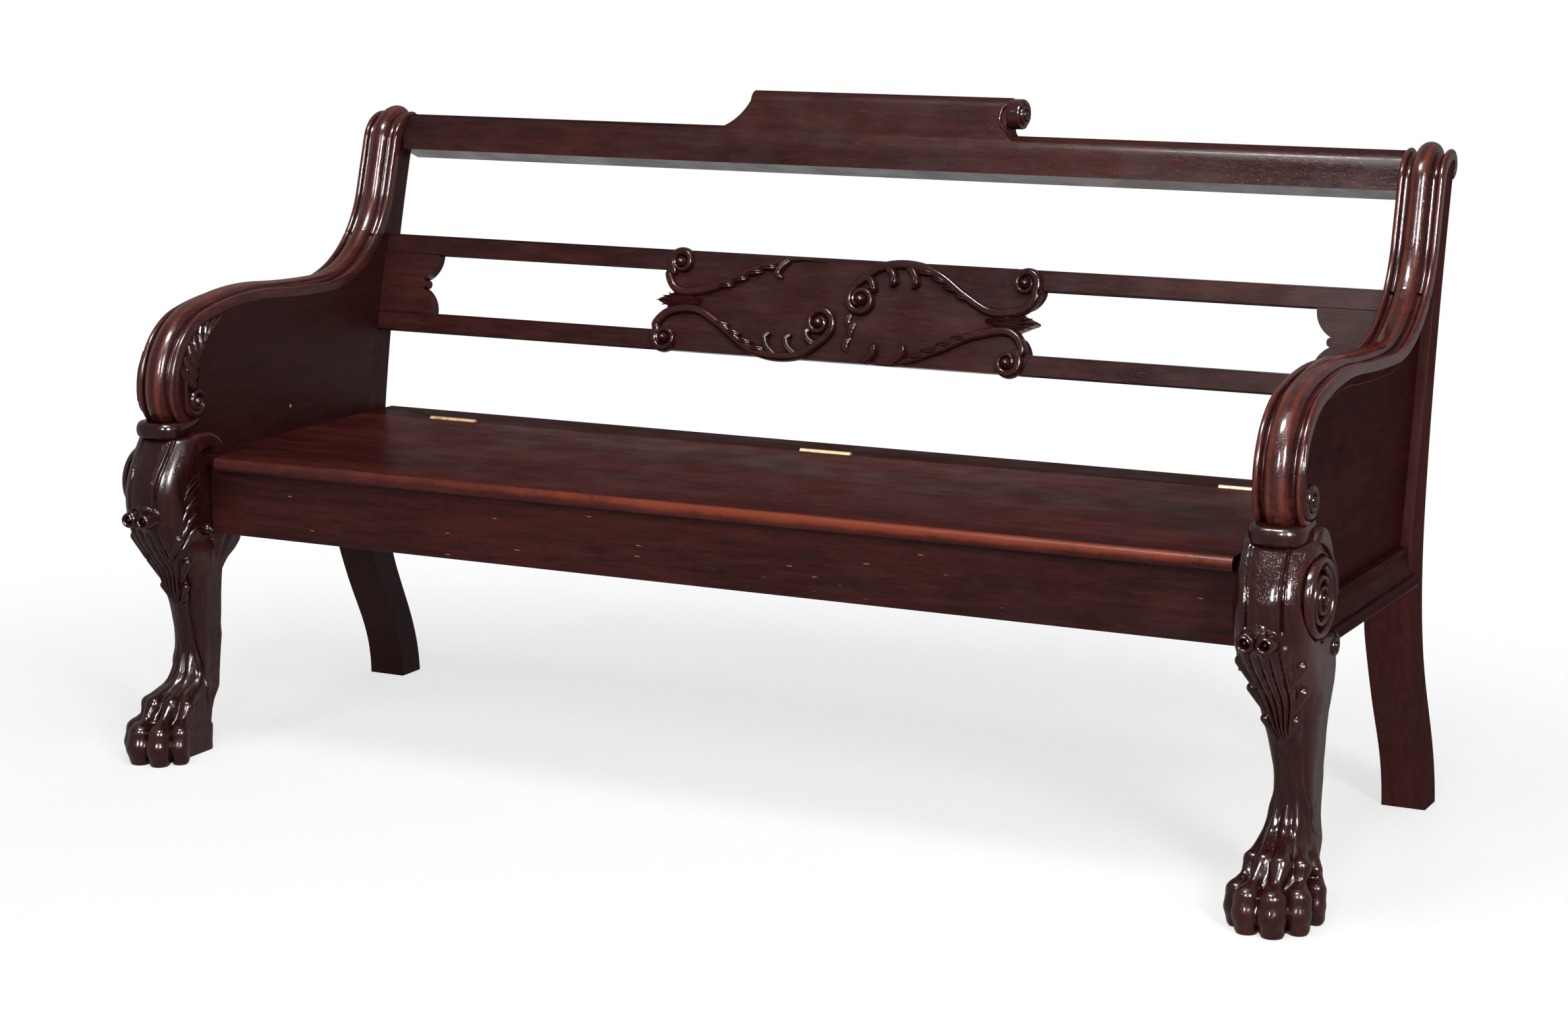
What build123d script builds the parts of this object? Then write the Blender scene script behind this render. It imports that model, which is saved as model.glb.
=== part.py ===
from build123d import *
import math
import os

os.makedirs("parts", exist_ok=True)

# Driving dimensions in millimetres.
# X runs along the bench, Y from the front (minus) to the back, Z up from the floor.

# Fits
fit = 0.2
seam = 0.3
pin_play = 0.05

# Ends of the bench: legs, posts, panels and arms stand about the plane x = end_x
end_x = 845.0
post_width = 62.0
panel_inset = 14.0

# Seat box
seat_top = 447.0
lid_thick = 20.0
lid_front = -256.0
lid_nosing = 9.0
lid_end_gap = 3.0
lid_leg_gap = 19.0
hinge_y = 178.0
hinge_gap = 1.5
strip_back = 253.0
apron_front = -236.0
apron_thick = 25.0
apron_bottom = 331.0
back_rail_y = 201.0
back_rail_thick = 25.0
bearer_width = 28.0
bearer_height = 25.0
board_thick = 12.0
board_count = 5
board_gap = 1.0
ledger_height = 14.0
ledger_width = 25.0
block_size = 40.0
block_height = 40.0
batten_width = 50.0
batten_thick = 22.0
batten_length = 340.0
batten_pitch = 500.0
tenon_length = 25.0
tenon_thick = 10.0
tenon_shoulder = 14.0

# Side rail: a cove flares from the fillet under the panel to the lip at the bottom
rail_bottom = 338.0
rail_top = 390.0
rail_inner = 27.0
rail_lip = 45.0
rail_fillet = 27.0
lip_height = 18.0
fillet_height = 6.0

# Front leg
leg_half = 50.0
leg_back = -160.0
leg_top = 480.0
collar_height = 20.0
collar_front = -322.0
collar_back = -244.0
collar_half = 38.0
collar_round = 8.0
scroll_y = -264.0
scroll_z = 409.0
scroll_radius = 50.0
scroll_relief = 4.0
knee_x = -4.0
knee_z = 371.0
knee_radius = 13.0
knee_front = -354.0
paw_shift = 5.0

# Rear leg and back post
foot_front = 275.0
foot_depth = 49.0
post_front = 172.0
post_knee = 382.0
post_lean = 0.2506

# Arm: a moulding carried along arcs and lines, as (radius, turn in degrees) or (None, length)
arm_front_y = -294.0
arm_front_z = 545.0
foot_radius = 65.0
foot_turn = 60.0
arm_run = [(foot_radius, -foot_turn), (110.0, -75.0), (467.0, -20.0), (1641.0, 5.0), (178.0, 50.0)]
post_run = [(178.0, 24.0), (None, 87.0), (48.0, -74.0), (17.0, -180.0)]
mould_width = 64.0
mould_base = 10.0
bead_width = 9.0
bead_height = 4.0
torus_width = 28.0
torus_height = 13.0
cove_width = 11.0
cove_drop = 13.0
volute_y = -262.0
volute_z = 526.0
volute_radius = 24.0
volute_relief = 7.0

# Back: rails, centre panel and brackets lie in the leaning front plane of the posts
back_thick = 20.0
rail_width = 30.0
lower_rail_at = 199.0
upper_rail_at = 321.5
splat_half = 311.0
bracket_long = 99.0
bracket_waist = 76.0
bead_radius = 6.7
scroll_width = 13.0
scroll_depth = 12.0
curl_radius = 15.0

# Crest rail
crest_front = 300.0
crest_bottom = 854.0
crest_top = 907.0
crest_roll_y = 332.0
crest_roll = 17.0
crest_under = 43.0
crest_face = 40.0
under_drop = 17.0
tablet_rise = 54.0
tablet_top = crest_top + tablet_rise
tablet_roll = 18.0
tablet_roll_y = 344.0
tablet_left = 200.0
tablet_right = 221.0
tablet_foot = 14.0
tablet_worn_rise = 46.0
tablet_worn_foot = 71.0
tablet_volute_radius = 22.0
tablet_volute_ahead = 4.0
tablet_volute_drop = 23.0
tablet_volute_y = tablet_roll_y - tablet_volute_ahead
tablet_volute_z = tablet_top - tablet_volute_drop
tablet_volute_width = 20.0

# Hinges
hinge_long = 82.0
hinge_at = (-645.0, 0.0, 645.0)
knuckle_radius = 4.0
knuckle_count = 5
knuckle_gap = 0.4
leaf_thick = 1.8
leaf_height = 13.0
pin_radius = 1.5
screw_radius = 1.6
screw_head = 3.4
screw_long = 16.0
screw_pitch = 26.0

# Sizes worked out from the driving dimensions
post_in = end_x - post_width / 2
post_out = end_x + post_width / 2
panel_in = post_in
crest_end = end_x - mould_width / 2
panel_out = post_out - panel_inset
leg_in = end_x - leg_half
lid_bottom = seat_top - lid_thick
collar_top = leg_top + collar_height
apron_back = apron_front + apron_thick
board_bottom = apron_bottom + ledger_height
lean_length = math.hypot(1.0, post_lean)
lean_up = Vector(0, post_lean / lean_length, 1 / lean_length)
back_plane = Plane(origin=(0, post_front, post_knee), x_dir=(1, 0, 0),
                   z_dir=(0, -lean_up.Z, lean_up.Y))


def at(y, z, x=0.0):
    return Vector(x, y, z)


# A box from its low corner to its high corner
def block(low, high):
    size = [b - a for a, b in zip(low, high)]
    middle = [(a + b) / 2 for a, b in zip(low, high)]
    return Pos(*middle) * Box(*size)


# A flat outline in the YZ plane, thickened from x0 to x1
def slab(edges, x0, x1):
    face = make_face(Plane.YZ.location.inverse() * Wire(edges))
    return Pos(x0, 0, 0) * extrude(Plane.YZ * face, amount=x1 - x0)


def both_sides(name, part, nodes):
    nodes[name + "_right"] = part
    nodes[name + "_left"] = mirror(part, about=Plane.YZ)


# Where a run of arcs and lines goes: each step's point, heading, arc centre and turn
def follow(point, heading, steps):
    stops = []
    for radius, amount in steps:
        ahead = at(math.cos(math.radians(heading)), math.sin(math.radians(heading)))
        left = at(-ahead.Z, ahead.Y)
        if radius is None:
            stops.append((point, heading, None, amount))
            point = point + ahead * amount
        else:
            centre = point + left * math.copysign(radius, amount)
            stops.append((point, heading, centre, amount))
            point = centre + (point - centre).rotate(Axis.X, amount)
            heading = heading + amount
    return stops, point, heading


# The edges of a run, moved outward (to the left of travel) by offset
def run_edges(point, heading, steps, offset):
    edges = []
    for start, angle, centre, amount in follow(point, heading, steps)[0]:
        left = at(-math.sin(math.radians(angle)), math.cos(math.radians(angle)))
        first = start + left * offset
        if centre is None:
            last = first + at(left.Z, -left.Y) * amount
            edges.append(Line(first, last))
        else:
            middle = centre + (first - centre).rotate(Axis.X, amount / 2)
            last = centre + (first - centre).rotate(Axis.X, amount)
            edges.append(ThreePointArc(first, middle, last))
    return edges


# A moulding section carried along a run; the section's y points outward and its x inward
def carried(section, point, heading, steps):
    pieces = []
    for start, angle, centre, amount in follow(point, heading, steps)[0]:
        ahead = at(math.cos(math.radians(angle)), math.sin(math.radians(angle)))
        plane = Plane(origin=start + Vector(end_x, 0, 0), x_dir=(-1, 0, 0), z_dir=ahead)
        face = plane * section
        if centre is None:
            pieces.append(extrude(face, amount=amount, dir=ahead))
        else:
            axis = Axis(centre, (math.copysign(1.0, amount), 0, 0))
            pieces.append(revolve(face, axis=axis, revolution_arc=abs(amount)))
    return Part() + pieces


foot_heading = 90.0 + foot_turn
foot_rise = foot_radius * math.sin(math.radians(foot_turn))
foot_swing = foot_radius * (1 - math.cos(math.radians(foot_turn)))
arm_start = at(arm_front_y + foot_swing, arm_front_z - foot_rise)
arm_stops, scarf_point, scarf_heading = follow(arm_start, foot_heading, arm_run)
post_stops, roll_point, roll_heading = follow(scarf_point, scarf_heading, post_run)
under_arm = run_edges(arm_start, foot_heading, arm_run, -(mould_base + seam))
under_upright = run_edges(scarf_point, scarf_heading, post_run, -(mould_base + seam))


# Reeded section: a bold torus between two beads on a flat base
def reeded_section():
    half = mould_width / 2
    rim = half - bead_width
    edges = [
        Line((-half, -mould_base), (-half, 0)),
        ThreePointArc((-half, 0), (-half + bead_width / 2, bead_height), (-rim, 0)),
        Line((-rim, 0), (-torus_width / 2, 0)),
        ThreePointArc((-torus_width / 2, 0), (0, torus_height), (torus_width / 2, 0)),
        Line((torus_width / 2, 0), (rim, 0)),
        ThreePointArc((rim, 0), (half - bead_width / 2, bead_height), (half, 0)),
        Line((half, 0), (half, -mould_base)),
        Line((half, -mould_base), (-half, -mould_base)),
    ]
    return make_face(edges)


# Small cove under the arm, in the corner between the moulding and the panel's outer face
def cove_section():
    wall = -(panel_out - end_x)
    top = -(mould_base + seam)
    edges = [
        Line((wall, top), (wall - cove_width, top)),
        Line((wall - cove_width, top), (wall - cove_width, top - 2)),
        RadiusArc((wall - cove_width, top - 2), (wall - 3, top - cove_drop + 3), cove_width),
        Line((wall - 3, top - cove_drop + 3), (wall - 3, top - cove_drop)),
        Line((wall - 3, top - cove_drop), (wall, top - cove_drop)),
        Line((wall, top - cove_drop), (wall, top)),
    ]
    return make_face(edges)


def volute_disc(x0, x1, radius):
    turned = Rot(0, 90, 0) * Cylinder(radius, x1 - x0)
    return Pos((x0 + x1) / 2, volute_y, volute_z) * turned


def arm_moulding():
    arm = carried(reeded_section(), arm_start, foot_heading, arm_run)
    arm -= block((post_in - 50, -400, collar_top - 60), (post_out + 50, 0, collar_top))
    arm += volute_disc(panel_out, panel_out + volute_relief, volute_radius)
    arm += volute_disc(panel_in - volute_relief, panel_in, volute_radius)
    return arm


def arm_cove():
    cove = carried(cove_section(), arm_start, foot_heading, arm_run)
    cove -= block((post_in - 50, -400, collar_top - 60), (post_out + 50, 0, volute_z))
    cove -= volute_disc(panel_out - 1, panel_out + 40, volute_radius + seam)
    cove -= slab(post_outline(), post_in - 1, post_out + 20)
    return cove


def upright_moulding():
    return carried(reeded_section(), scarf_point, scarf_heading, post_run)


# Outline of the rear leg and back post: sabre foot, upright joint, leaning post, roll on top
def post_outline():
    tip = under_arm[-1] @ 1
    lean_end = at(post_front + post_lean * (tip.Z - post_knee), tip.Z)
    roll_end = under_upright[-1] @ 1
    front = [
        Spline(at(foot_front, 0), at(foot_front - 13, 72), at(foot_front - 53, 155),
               at(foot_front - 91, 245), at(post_front, apron_bottom - 1),
               tangents=[(0, 0, 1), (0, 0, 1)]),
        Line(at(post_front, apron_bottom - 1), at(post_front, post_knee)),
        Line(at(post_front, post_knee), lean_end),
        Line(lean_end, tip),
    ]
    neck = at(roll_end.Y - seam, roll_end.Z - 8)
    back = [
        Line(roll_end, neck),
        Spline(neck, at(foot_front + 24, 750), at(foot_front - 27, 500), at(foot_front - 41, 320),
               at(foot_front - 19, 201), at(foot_front + 24, 102), at(foot_front + foot_depth, 0)),
        Line(at(foot_front + foot_depth, 0), at(foot_front, 0)),
    ]
    return front + under_upright + back


def rear_leg():
    leg = slab(post_outline(), post_in, post_out)
    leg -= side_rail_tenon(post_front - 1, post_front + tenon_length, fit)
    leg -= back_rail_tenons(fit)
    leg -= rail_tenons(lower_rail_at, fit)
    leg -= rail_tenons(upper_rail_at, fit)
    leg -= crest_tenons(fit)
    return leg


def panel_outline():
    tip = under_arm[-1] @ 1
    lean_end = at(post_front + post_lean * (tip.Z - post_knee), tip.Z)
    heel = at(post_front + post_lean * (rail_top - post_knee), rail_top)
    foot = [e for e in under_arm]
    first = foot[0]
    low = first @ 0
    return foot + [
        Line(tip, lean_end),
        Line(lean_end, heel),
        Line(heel, at(leg_back, rail_top)),
        Line(at(leg_back, rail_top), at(leg_back, low.Z)),
        Line(at(leg_back, low.Z), low),
    ]


def side_panel():
    panel = slab(panel_outline(), panel_in, panel_out)
    panel -= block((panel_in - 1, -400, rail_top - 1), (panel_out + 1, leg_back, collar_top))
    return panel


# Side rail section in XZ, with the cove as one arc
def side_rail():
    low_x = end_x - rail_inner
    lip_x = end_x + rail_lip
    top_x = end_x + rail_fillet
    lip_z = rail_bottom + lip_height
    neck_z = rail_top - fillet_height
    edges = [
        Line((low_x, rail_bottom), (lip_x, rail_bottom)),
        Line((lip_x, rail_bottom), (lip_x, lip_z)),
        RadiusArc((lip_x, lip_z), (top_x, neck_z), -34),
        Line((top_x, neck_z), (top_x, rail_top)),
        Line((top_x, rail_top), (low_x, rail_top)),
        Line((low_x, rail_top), (low_x, rail_bottom)),
    ]
    face = Plane.XZ * make_face(edges)
    rail = Pos(0, post_front, 0) * extrude(face, amount=post_front - leg_back)
    rail += side_rail_tenon(leg_back - tenon_length, leg_back, 0)
    rail += side_rail_tenon(post_front, post_front + tenon_length, 0)
    return rail


def side_rail_tenon(y0, y1, room):
    half = tenon_thick / 2 + room
    return block((end_x - half, y0 - room, rail_bottom + 8 - room),
                 (end_x + half, y1 + room, rail_top - 8 + room))


# Front leg: scroll block, shaft lofted from its sections, paw with toes and knuckles
def leg_section(z, front, back, half, corner, shift):
    sketch = RectangleRounded(2 * half, back - front, corner)
    return Pos(end_x + shift, (front + back) / 2, z) * sketch


def paw_lobe(x, y, z, length, radius):
    half = Plane.XY * make_face([
        EllipticalCenterArc((0, 0), length, radius, start_angle=0, arc_size=180),
        Line((-length, 0), (length, 0)),
    ])
    lobe = revolve(half, axis=Axis.X, revolution_arc=360)
    return Pos(end_x + x, y, z) * Rot(0, 0, 90) * lobe


def front_leg():
    joint = apron_bottom - 1
    scroll = slab([
        Line(at(leg_back, leg_top), at(collar_front + 4, leg_top)),
        Spline(at(collar_front + 4, leg_top), at(-340, 412), at(-328, joint)),
        Line(at(-328, joint), at(leg_back, joint)),
        Line(at(leg_back, joint), at(leg_back, leg_top)),
    ], leg_in, end_x + leg_half)
    scroll = fillet(scroll.edges().filter_by(GeomType.BSPLINE), 30)
    shaft = loft([
        leg_section(joint, -328, leg_back, leg_half, 29, 0),
        leg_section(290, -292, -186, 44, 20, 2),
        leg_section(250, -270, -193, 38, 17, 4),
        leg_section(205, -251, -186, 30.5, 16, paw_shift),
        leg_section(160, -246, -181, 25.5, 14, paw_shift),
        leg_section(118, -252, -184, 25, 13, paw_shift),
        leg_section(88, -280, -195, 31, 14, paw_shift),
        leg_section(55, -312, -210, 42, 18, paw_shift),
        leg_section(-12, -331, -222, 44, 20, paw_shift),
    ])
    shaft -= block((leg_in - 60, -420, -60), (end_x + leg_half + 60, leg_back, 0))
    leg = scroll + shaft
    leg += block((leg_in, collar_back, leg_top), (end_x + leg_half, leg_back, collar_top))
    disc = Rot(0, 90, 0) * Cylinder(scroll_radius, scroll_relief + 6)
    leg += Pos(end_x + leg_half + scroll_relief / 2 - 3, scroll_y, scroll_z) * disc
    for side in (-1, 1):
        curl = Rot(90, 0, 0) * Cylinder(knee_radius, 36)
        leg += Pos(end_x + knee_x + side * 14, knee_front + 18, knee_z) * curl
    for x, y, size in ((-41, -296, 15), (-20, -315, 17), (17, -316, 18), (39, -296, 15), (43, -262, 12)):
        leg += paw_lobe(paw_shift + x, y, 20, 2 * size, size)
        leg += paw_lobe(paw_shift + 0.75 * x, y + 24, 71, 18, 0.8 * size)
    leg -= apron_tenon(fit)
    leg -= side_rail_tenon(leg_back - tenon_length, leg_back + 1, fit)
    return leg


def leg_collar():
    depth = collar_back - collar_front
    plan = RectangleRounded(2 * collar_half, depth, 14)
    ring = extrude(plan, amount=collar_height)
    ring = fillet(ring.edges().group_by(Axis.Z)[0] + ring.edges().group_by(Axis.Z)[-1], collar_round)
    return Pos(end_x, (collar_front + collar_back) / 2, leg_top) * ring


def apron_tenon(room):
    middle = (apron_front + apron_back) / 2
    half = tenon_thick / 2 + room
    return block((leg_in - room, middle - half, apron_bottom + tenon_shoulder - room),
                 (leg_in + tenon_length + room, middle + half, lid_bottom - tenon_shoulder + room))


def front_apron():
    apron = block((-leg_in, apron_front, apron_bottom), (leg_in, apron_back, lid_bottom))
    tenon = apron_tenon(0)
    return apron + tenon + mirror(tenon, about=Plane.YZ)


def back_rail_tenons(room):
    middle = back_rail_y + back_rail_thick / 2
    half = tenon_thick / 2 + room
    return block((post_in - room, middle - half, apron_bottom + tenon_shoulder - room),
                 (post_in + tenon_length + room, middle + half, lid_bottom - tenon_shoulder + room))


def back_rail():
    back = back_rail_y + back_rail_thick
    rail = block((-post_in, back_rail_y, apron_bottom), (post_in, back, lid_bottom))
    tenon = back_rail_tenons(0)
    return rail + tenon + mirror(tenon, about=Plane.YZ)


def seat_strip():
    half = panel_in - lid_end_gap
    strip = block((-half, hinge_y + hinge_gap / 2, lid_bottom), (half, strip_back, seat_top))
    for x in hinge_at:
        strip -= leaf_recess(x, 1)
        strip -= barrel_groove(x)
        for y_screw in leaf_screws(x, 1, pin_play):
            strip -= y_screw
    return strip


def lid_bearer():
    return block((panel_in - bearer_width, leg_back, lid_bottom - bearer_height),
                 (panel_in, back_rail_y, lid_bottom))


def ledger_strips():
    half = leg_in - 5
    front = block((-half, apron_back, apron_bottom), (half, apron_back + ledger_width, board_bottom))
    back = block((-half, back_rail_y - ledger_width, apron_bottom), (half, back_rail_y, board_bottom))
    return [front, back]


def bottom_boards():
    half = leg_in - 5
    pitch = 2 * half / board_count
    boards = []
    for i in range(board_count):
        x0 = -half + i * pitch
        boards.append(block((x0, apron_back + 1, board_bottom),
                            (x0 + pitch - board_gap, back_rail_y - 1, board_bottom + board_thick)))
    return boards


# A three-cornered glue block in the corner (x, y), reaching inward and along Y
def corner_block(x, y, reach):
    z0 = board_bottom + board_thick + 3
    inward = -math.copysign(block_size, x)
    plan = make_face(Polyline((x, y), (x + inward, y), (x, y + reach), (x, y)))
    return Pos(0, 0, z0) * extrude(plan, amount=block_height)


def corner_blocks():
    blocks = []
    for side in (-1, 1):
        blocks.append(corner_block(side * leg_in, apron_back, block_size))
        blocks.append(corner_block(side * panel_in, back_rail_y, -block_size))
    return blocks


# Leaning rails from the centre panel to each post, with a tenon at both ends
def rail_tenons(along, room):
    high = rail_width - 10 + 2 * room
    tenon = Box(tenon_length + room, high, 8 + 2 * room)
    centre = post_in + (tenon_length + room) / 2 - room / 2
    return back_plane * Pos(centre, along + rail_width / 2, -back_thick / 2) * tenon


def splat_tenon(along, room):
    high = rail_width - 10 + 2 * room
    tenon = Box(tenon_length + room, high, 8 + 2 * room)
    centre = splat_half - (tenon_length + room) / 2 + room / 2
    return back_plane * Pos(centre, along + rail_width / 2, -back_thick / 2) * tenon


def back_rail_segment(along):
    long = post_in - splat_half
    place = Pos((post_in + splat_half) / 2, along + rail_width / 2, -back_thick / 2)
    rail = back_plane * place * Box(long, rail_width, back_thick)
    return rail + rail_tenons(along, 0) + splat_tenon(along, 0)


def splat_panel():
    low = lower_rail_at
    high = upper_rail_at + rail_width
    place = Pos(0, (low + high) / 2, -back_thick / 2)
    panel = back_plane * place * Box(2 * splat_half, high - low, back_thick)
    for along in (lower_rail_at, upper_rail_at):
        room = splat_tenon(along, fit)
        panel -= room
        panel -= mirror(room, about=Plane.YZ)
    return panel


# Shaped end brackets: ogee halves meeting at a bead
def bracket_half(upper):
    gap_low = lower_rail_at + rail_width
    gap_high = upper_rail_at
    middle = (gap_low + gap_high) / 2
    edge = gap_high if upper else gap_low
    lean = math.copysign(1.0, edge - middle)
    tip = post_in - bracket_long
    waist = post_in - bracket_waist
    bead = waist - bead_radius * 0.8
    notch = middle + lean * bead_radius
    outline = [
        Line((post_in, edge), (tip, edge)),
        ThreePointArc((tip, edge), (tip + 7, middle + lean * 21), (waist, notch)),
        ThreePointArc((waist, notch), (bead + 1, middle + lean * 4), (bead, middle)),
        Line((bead, middle), (post_in, middle)),
        Line((post_in, middle), (post_in, edge)),
    ]
    face = back_plane * make_face(outline)
    return extrude(face, amount=-back_thick)


# Carved cartouche, in panel coordinates: two stems that end in curls
def splat_scroll():
    middle = (lower_rail_at + upper_rail_at + rail_width) / 2
    upper = Spline((-289, 44), (-297, 32), (-284, 16), (-218, 22), (-117, 61), (-46, 66))
    lower = Spline((-292, -44), (-300, -30), (-284, -15), (-200, -34), (-112, -65), (-48, -58), (-30, -30))
    stems = trace([upper, lower], line_width=scroll_width)
    stems += make_face(Polyline((-309, 0), (-270, 18), (-225, 14), (-245, -14), (-275, -17), (-309, 0)))
    curls = [(-283, 56), (-294, -56), (-43, -20)]
    for x, y in curls:
        stems += Pos(x, y) * Circle(curl_radius)
    carving = extrude(stems, amount=scroll_depth)
    return back_plane * Pos(0, middle, 0) * carving


def turned_scroll(scroll):
    middle = (lower_rail_at + upper_rail_at + rail_width) / 2
    centre = back_plane.origin + lean_up * middle
    return scroll.rotate(Axis(centre, back_plane.z_dir), 180)


# Angle of the flat front from level: a line from its bottom edge that just touches the tablet's roll
def face_angle():
    across, up = tablet_roll_y - crest_front, tablet_top - tablet_roll - crest_bottom
    return math.atan2(up, across) + math.asin(tablet_roll / math.hypot(across, up))


# Crest rail section beside the tablet: the tablet's flat leaning front, rolled over lower down
def crest_section():
    under_back = at(crest_front + crest_under, crest_bottom - under_drop)
    cheek = at(crest_front + crest_face / math.tan(face_angle()), crest_bottom + crest_face)
    brow = at(crest_roll_y - 11.4, crest_top - 3.6)
    top = at(crest_roll_y, crest_top)
    rear = at(crest_roll_y + crest_roll, crest_top - crest_roll)
    corner = math.sqrt(0.5) * crest_roll
    bend = at(crest_roll_y + corner, crest_top - crest_roll + corner)
    return [
        Line(under_back, at(crest_front, crest_bottom)),
        Line(at(crest_front, crest_bottom), cheek),
        ThreePointArc(cheek, brow, top),
        ThreePointArc(top, bend, rear),
        Line(rear, under_back),
    ]


def tablet_section():
    under_back = at(crest_front + crest_under, crest_bottom - under_drop)
    roll_z = tablet_top - tablet_roll
    corner = math.sqrt(0.5) * tablet_roll
    aim = face_angle()
    cheek = at(tablet_roll_y - tablet_roll * math.sin(aim), roll_z + tablet_roll * math.cos(aim))
    return [
        Line(under_back, at(crest_front, crest_bottom)),
        Line(at(crest_front, crest_bottom), cheek),
        ThreePointArc(cheek, at(tablet_roll_y - corner, roll_z + corner), at(tablet_roll_y, tablet_top)),
        ThreePointArc(at(tablet_roll_y, tablet_top), at(tablet_roll_y + corner, roll_z + corner),
                      at(tablet_roll_y + tablet_roll, roll_z)),
        Line(at(tablet_roll_y + tablet_roll, roll_z), under_back),
    ]


# Front view of the tablet: hollow shoulders rise from the crest rail to both ends
def tablet_front():
    shoulder = crest_top - 6
    low = shoulder - 30
    high = tablet_top + 5
    rise = shoulder + tablet_foot
    right = tablet_right + tablet_foot
    left = -tablet_left - tablet_worn_foot
    hollow = 0.3 * tablet_foot
    worn_rise = shoulder + tablet_worn_rise
    worn_hollow = 0.4 * tablet_worn_foot
    worn_low = shoulder + 0.3 * tablet_worn_rise
    outline = [
        Line((left, low), (right, low)),
        Line((right, low), (right, shoulder)),
        ThreePointArc((right, shoulder), (tablet_right + hollow, shoulder + hollow), (tablet_right, rise)),
        Line((tablet_right, rise), (tablet_right, high)),
        Line((tablet_right, high), (-tablet_left, high)),
        Line((-tablet_left, high), (-tablet_left, worn_rise)),
        ThreePointArc((-tablet_left, worn_rise), (-tablet_left - worn_hollow, worn_low), (left, shoulder)),
        Line((left, shoulder), (left, low)),
    ]
    face = Plane.XZ * make_face(outline)
    return Pos(0, 450, 0) * extrude(face, amount=300)


def crest_tenons(room):
    half = tenon_thick / 2 + room
    middle = crest_front + 9
    return block((crest_end - room, middle - half, crest_bottom + 2 - room),
                 (post_in + tenon_length + room, middle + half, crest_bottom + 27 + room))


def crest_rail():
    rail = slab(crest_section(), -crest_end, crest_end)
    rail += slab(tablet_section(), -tablet_left - 90, tablet_right + 90) & tablet_front()
    rail -= volute_roll(tablet_volute_radius + seam)
    tenon = crest_tenons(0)
    rail += tenon
    rail += mirror(tenon, about=Plane.YZ)
    return rail


def volute_roll(radius):
    turned = Rot(0, 90, 0) * Cylinder(radius, tablet_volute_width)
    return Pos(tablet_right + tablet_volute_width / 2, tablet_volute_y, tablet_volute_z) * turned


def tablet_volute():
    return volute_roll(tablet_volute_radius)


# Butt hinge: side +1 is the fixed leaf in the strip, side -1 the moving leaf in the lid
def leaf_plate(x, side, room):
    edge = hinge_y + side * hinge_gap / 2
    deep = edge + side * (leaf_thick + room)
    top = seat_top - knuckle_radius - knuckle_gap
    half = hinge_long / 2 + room
    low = top - leaf_height - room
    return block((x - half, min(edge, deep), low), (x + half, max(edge, deep), top))


# The recess for a leaf runs out at the top of the seat, so that its knuckle tabs fit too
def leaf_recess(x, side):
    plate = leaf_plate(x, side, fit).bounding_box()
    return block(tuple(plate.min), (plate.max.X, plate.max.Y, seat_top + 1))


def barrel_groove(x):
    groove = Rot(0, 90, 0) * Cylinder(knuckle_radius + knuckle_gap, hinge_long + 2 * knuckle_gap)
    return Pos(x, hinge_y, seat_top) * groove


def knuckle_spans(side):
    span = hinge_long / knuckle_count
    first = 0 if side > 0 else 1
    return [(i * span, (i + 1) * span) for i in range(first, knuckle_count, 2)]


def hinge_leaf(x, side):
    leaf = leaf_plate(x, side, 0)
    edge = hinge_y + side * hinge_gap / 2
    deep = edge + side * leaf_thick
    for a, b in knuckle_spans(side):
        low = x - hinge_long / 2 + a + knuckle_gap / 2
        high = x - hinge_long / 2 + b - knuckle_gap / 2
        barrel = Rot(0, 90, 0) * Cylinder(knuckle_radius, high - low)
        leaf += Pos((low + high) / 2, hinge_y, seat_top) * barrel
        leaf += block((low, min(edge, deep), seat_top - knuckle_radius - knuckle_gap - 1),
                      (high, max(edge, deep), seat_top))
    bore = Rot(0, 90, 0) * Cylinder(pin_radius + pin_play, hinge_long + 2)
    leaf -= Pos(x, hinge_y, seat_top) * bore
    for screw in leaf_screws(x, side, pin_play):
        leaf -= screw
    return leaf


def hinge_pin(x):
    return Pos(x, hinge_y, seat_top) * Rot(0, 90, 0) * Cylinder(pin_radius, hinge_long)


# Countersunk screw along its own +Z, head at the origin
def wood_screw(room):
    head_deep = screw_head - screw_radius
    shank = Pos(0, 0, (screw_long + room) / 2) * Cylinder(screw_radius + room, screw_long + room)
    head = Pos(0, 0, head_deep / 2) * Cone(screw_head + room, screw_radius + room, head_deep)
    return shank + head


def leaf_screws(x, side, room):
    middle = seat_top - knuckle_radius - knuckle_gap - leaf_height / 2
    face = hinge_y + side * hinge_gap / 2
    turn = Rot(-90 * side, 0, 0)
    return [Pos(x + step * screw_pitch, face, middle) * turn * wood_screw(room) for step in (-1, 0, 1)]


def all_leaf_screws(side):
    return [screw for x in hinge_at for screw in leaf_screws(x, side, 0)]


def seat_lid():
    wide = panel_in - lid_end_gap
    narrow = leg_in - lid_leg_gap
    back = hinge_y - hinge_gap / 2
    notch = leg_back + lid_end_gap
    lid = block((-narrow, lid_front, lid_bottom), (narrow, notch, seat_top))
    front = lid.edges().filter_by(Axis.X).group_by(Axis.Y)[0]
    lid = fillet(front, lid_nosing)
    lid += block((-wide, notch, lid_bottom), (wide, back, seat_top))
    for x in hinge_at:
        lid -= leaf_recess(x, -1)
        lid -= barrel_groove(x)
        for screw in leaf_screws(x, -1, pin_play):
            lid -= screw
    for screw in batten_screws(pin_play):
        lid -= screw
    return lid


def batten_spots():
    middle = (apron_back + back_rail_y) / 2
    return [(i * batten_pitch, middle) for i in (-1, 0, 1)]


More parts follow.
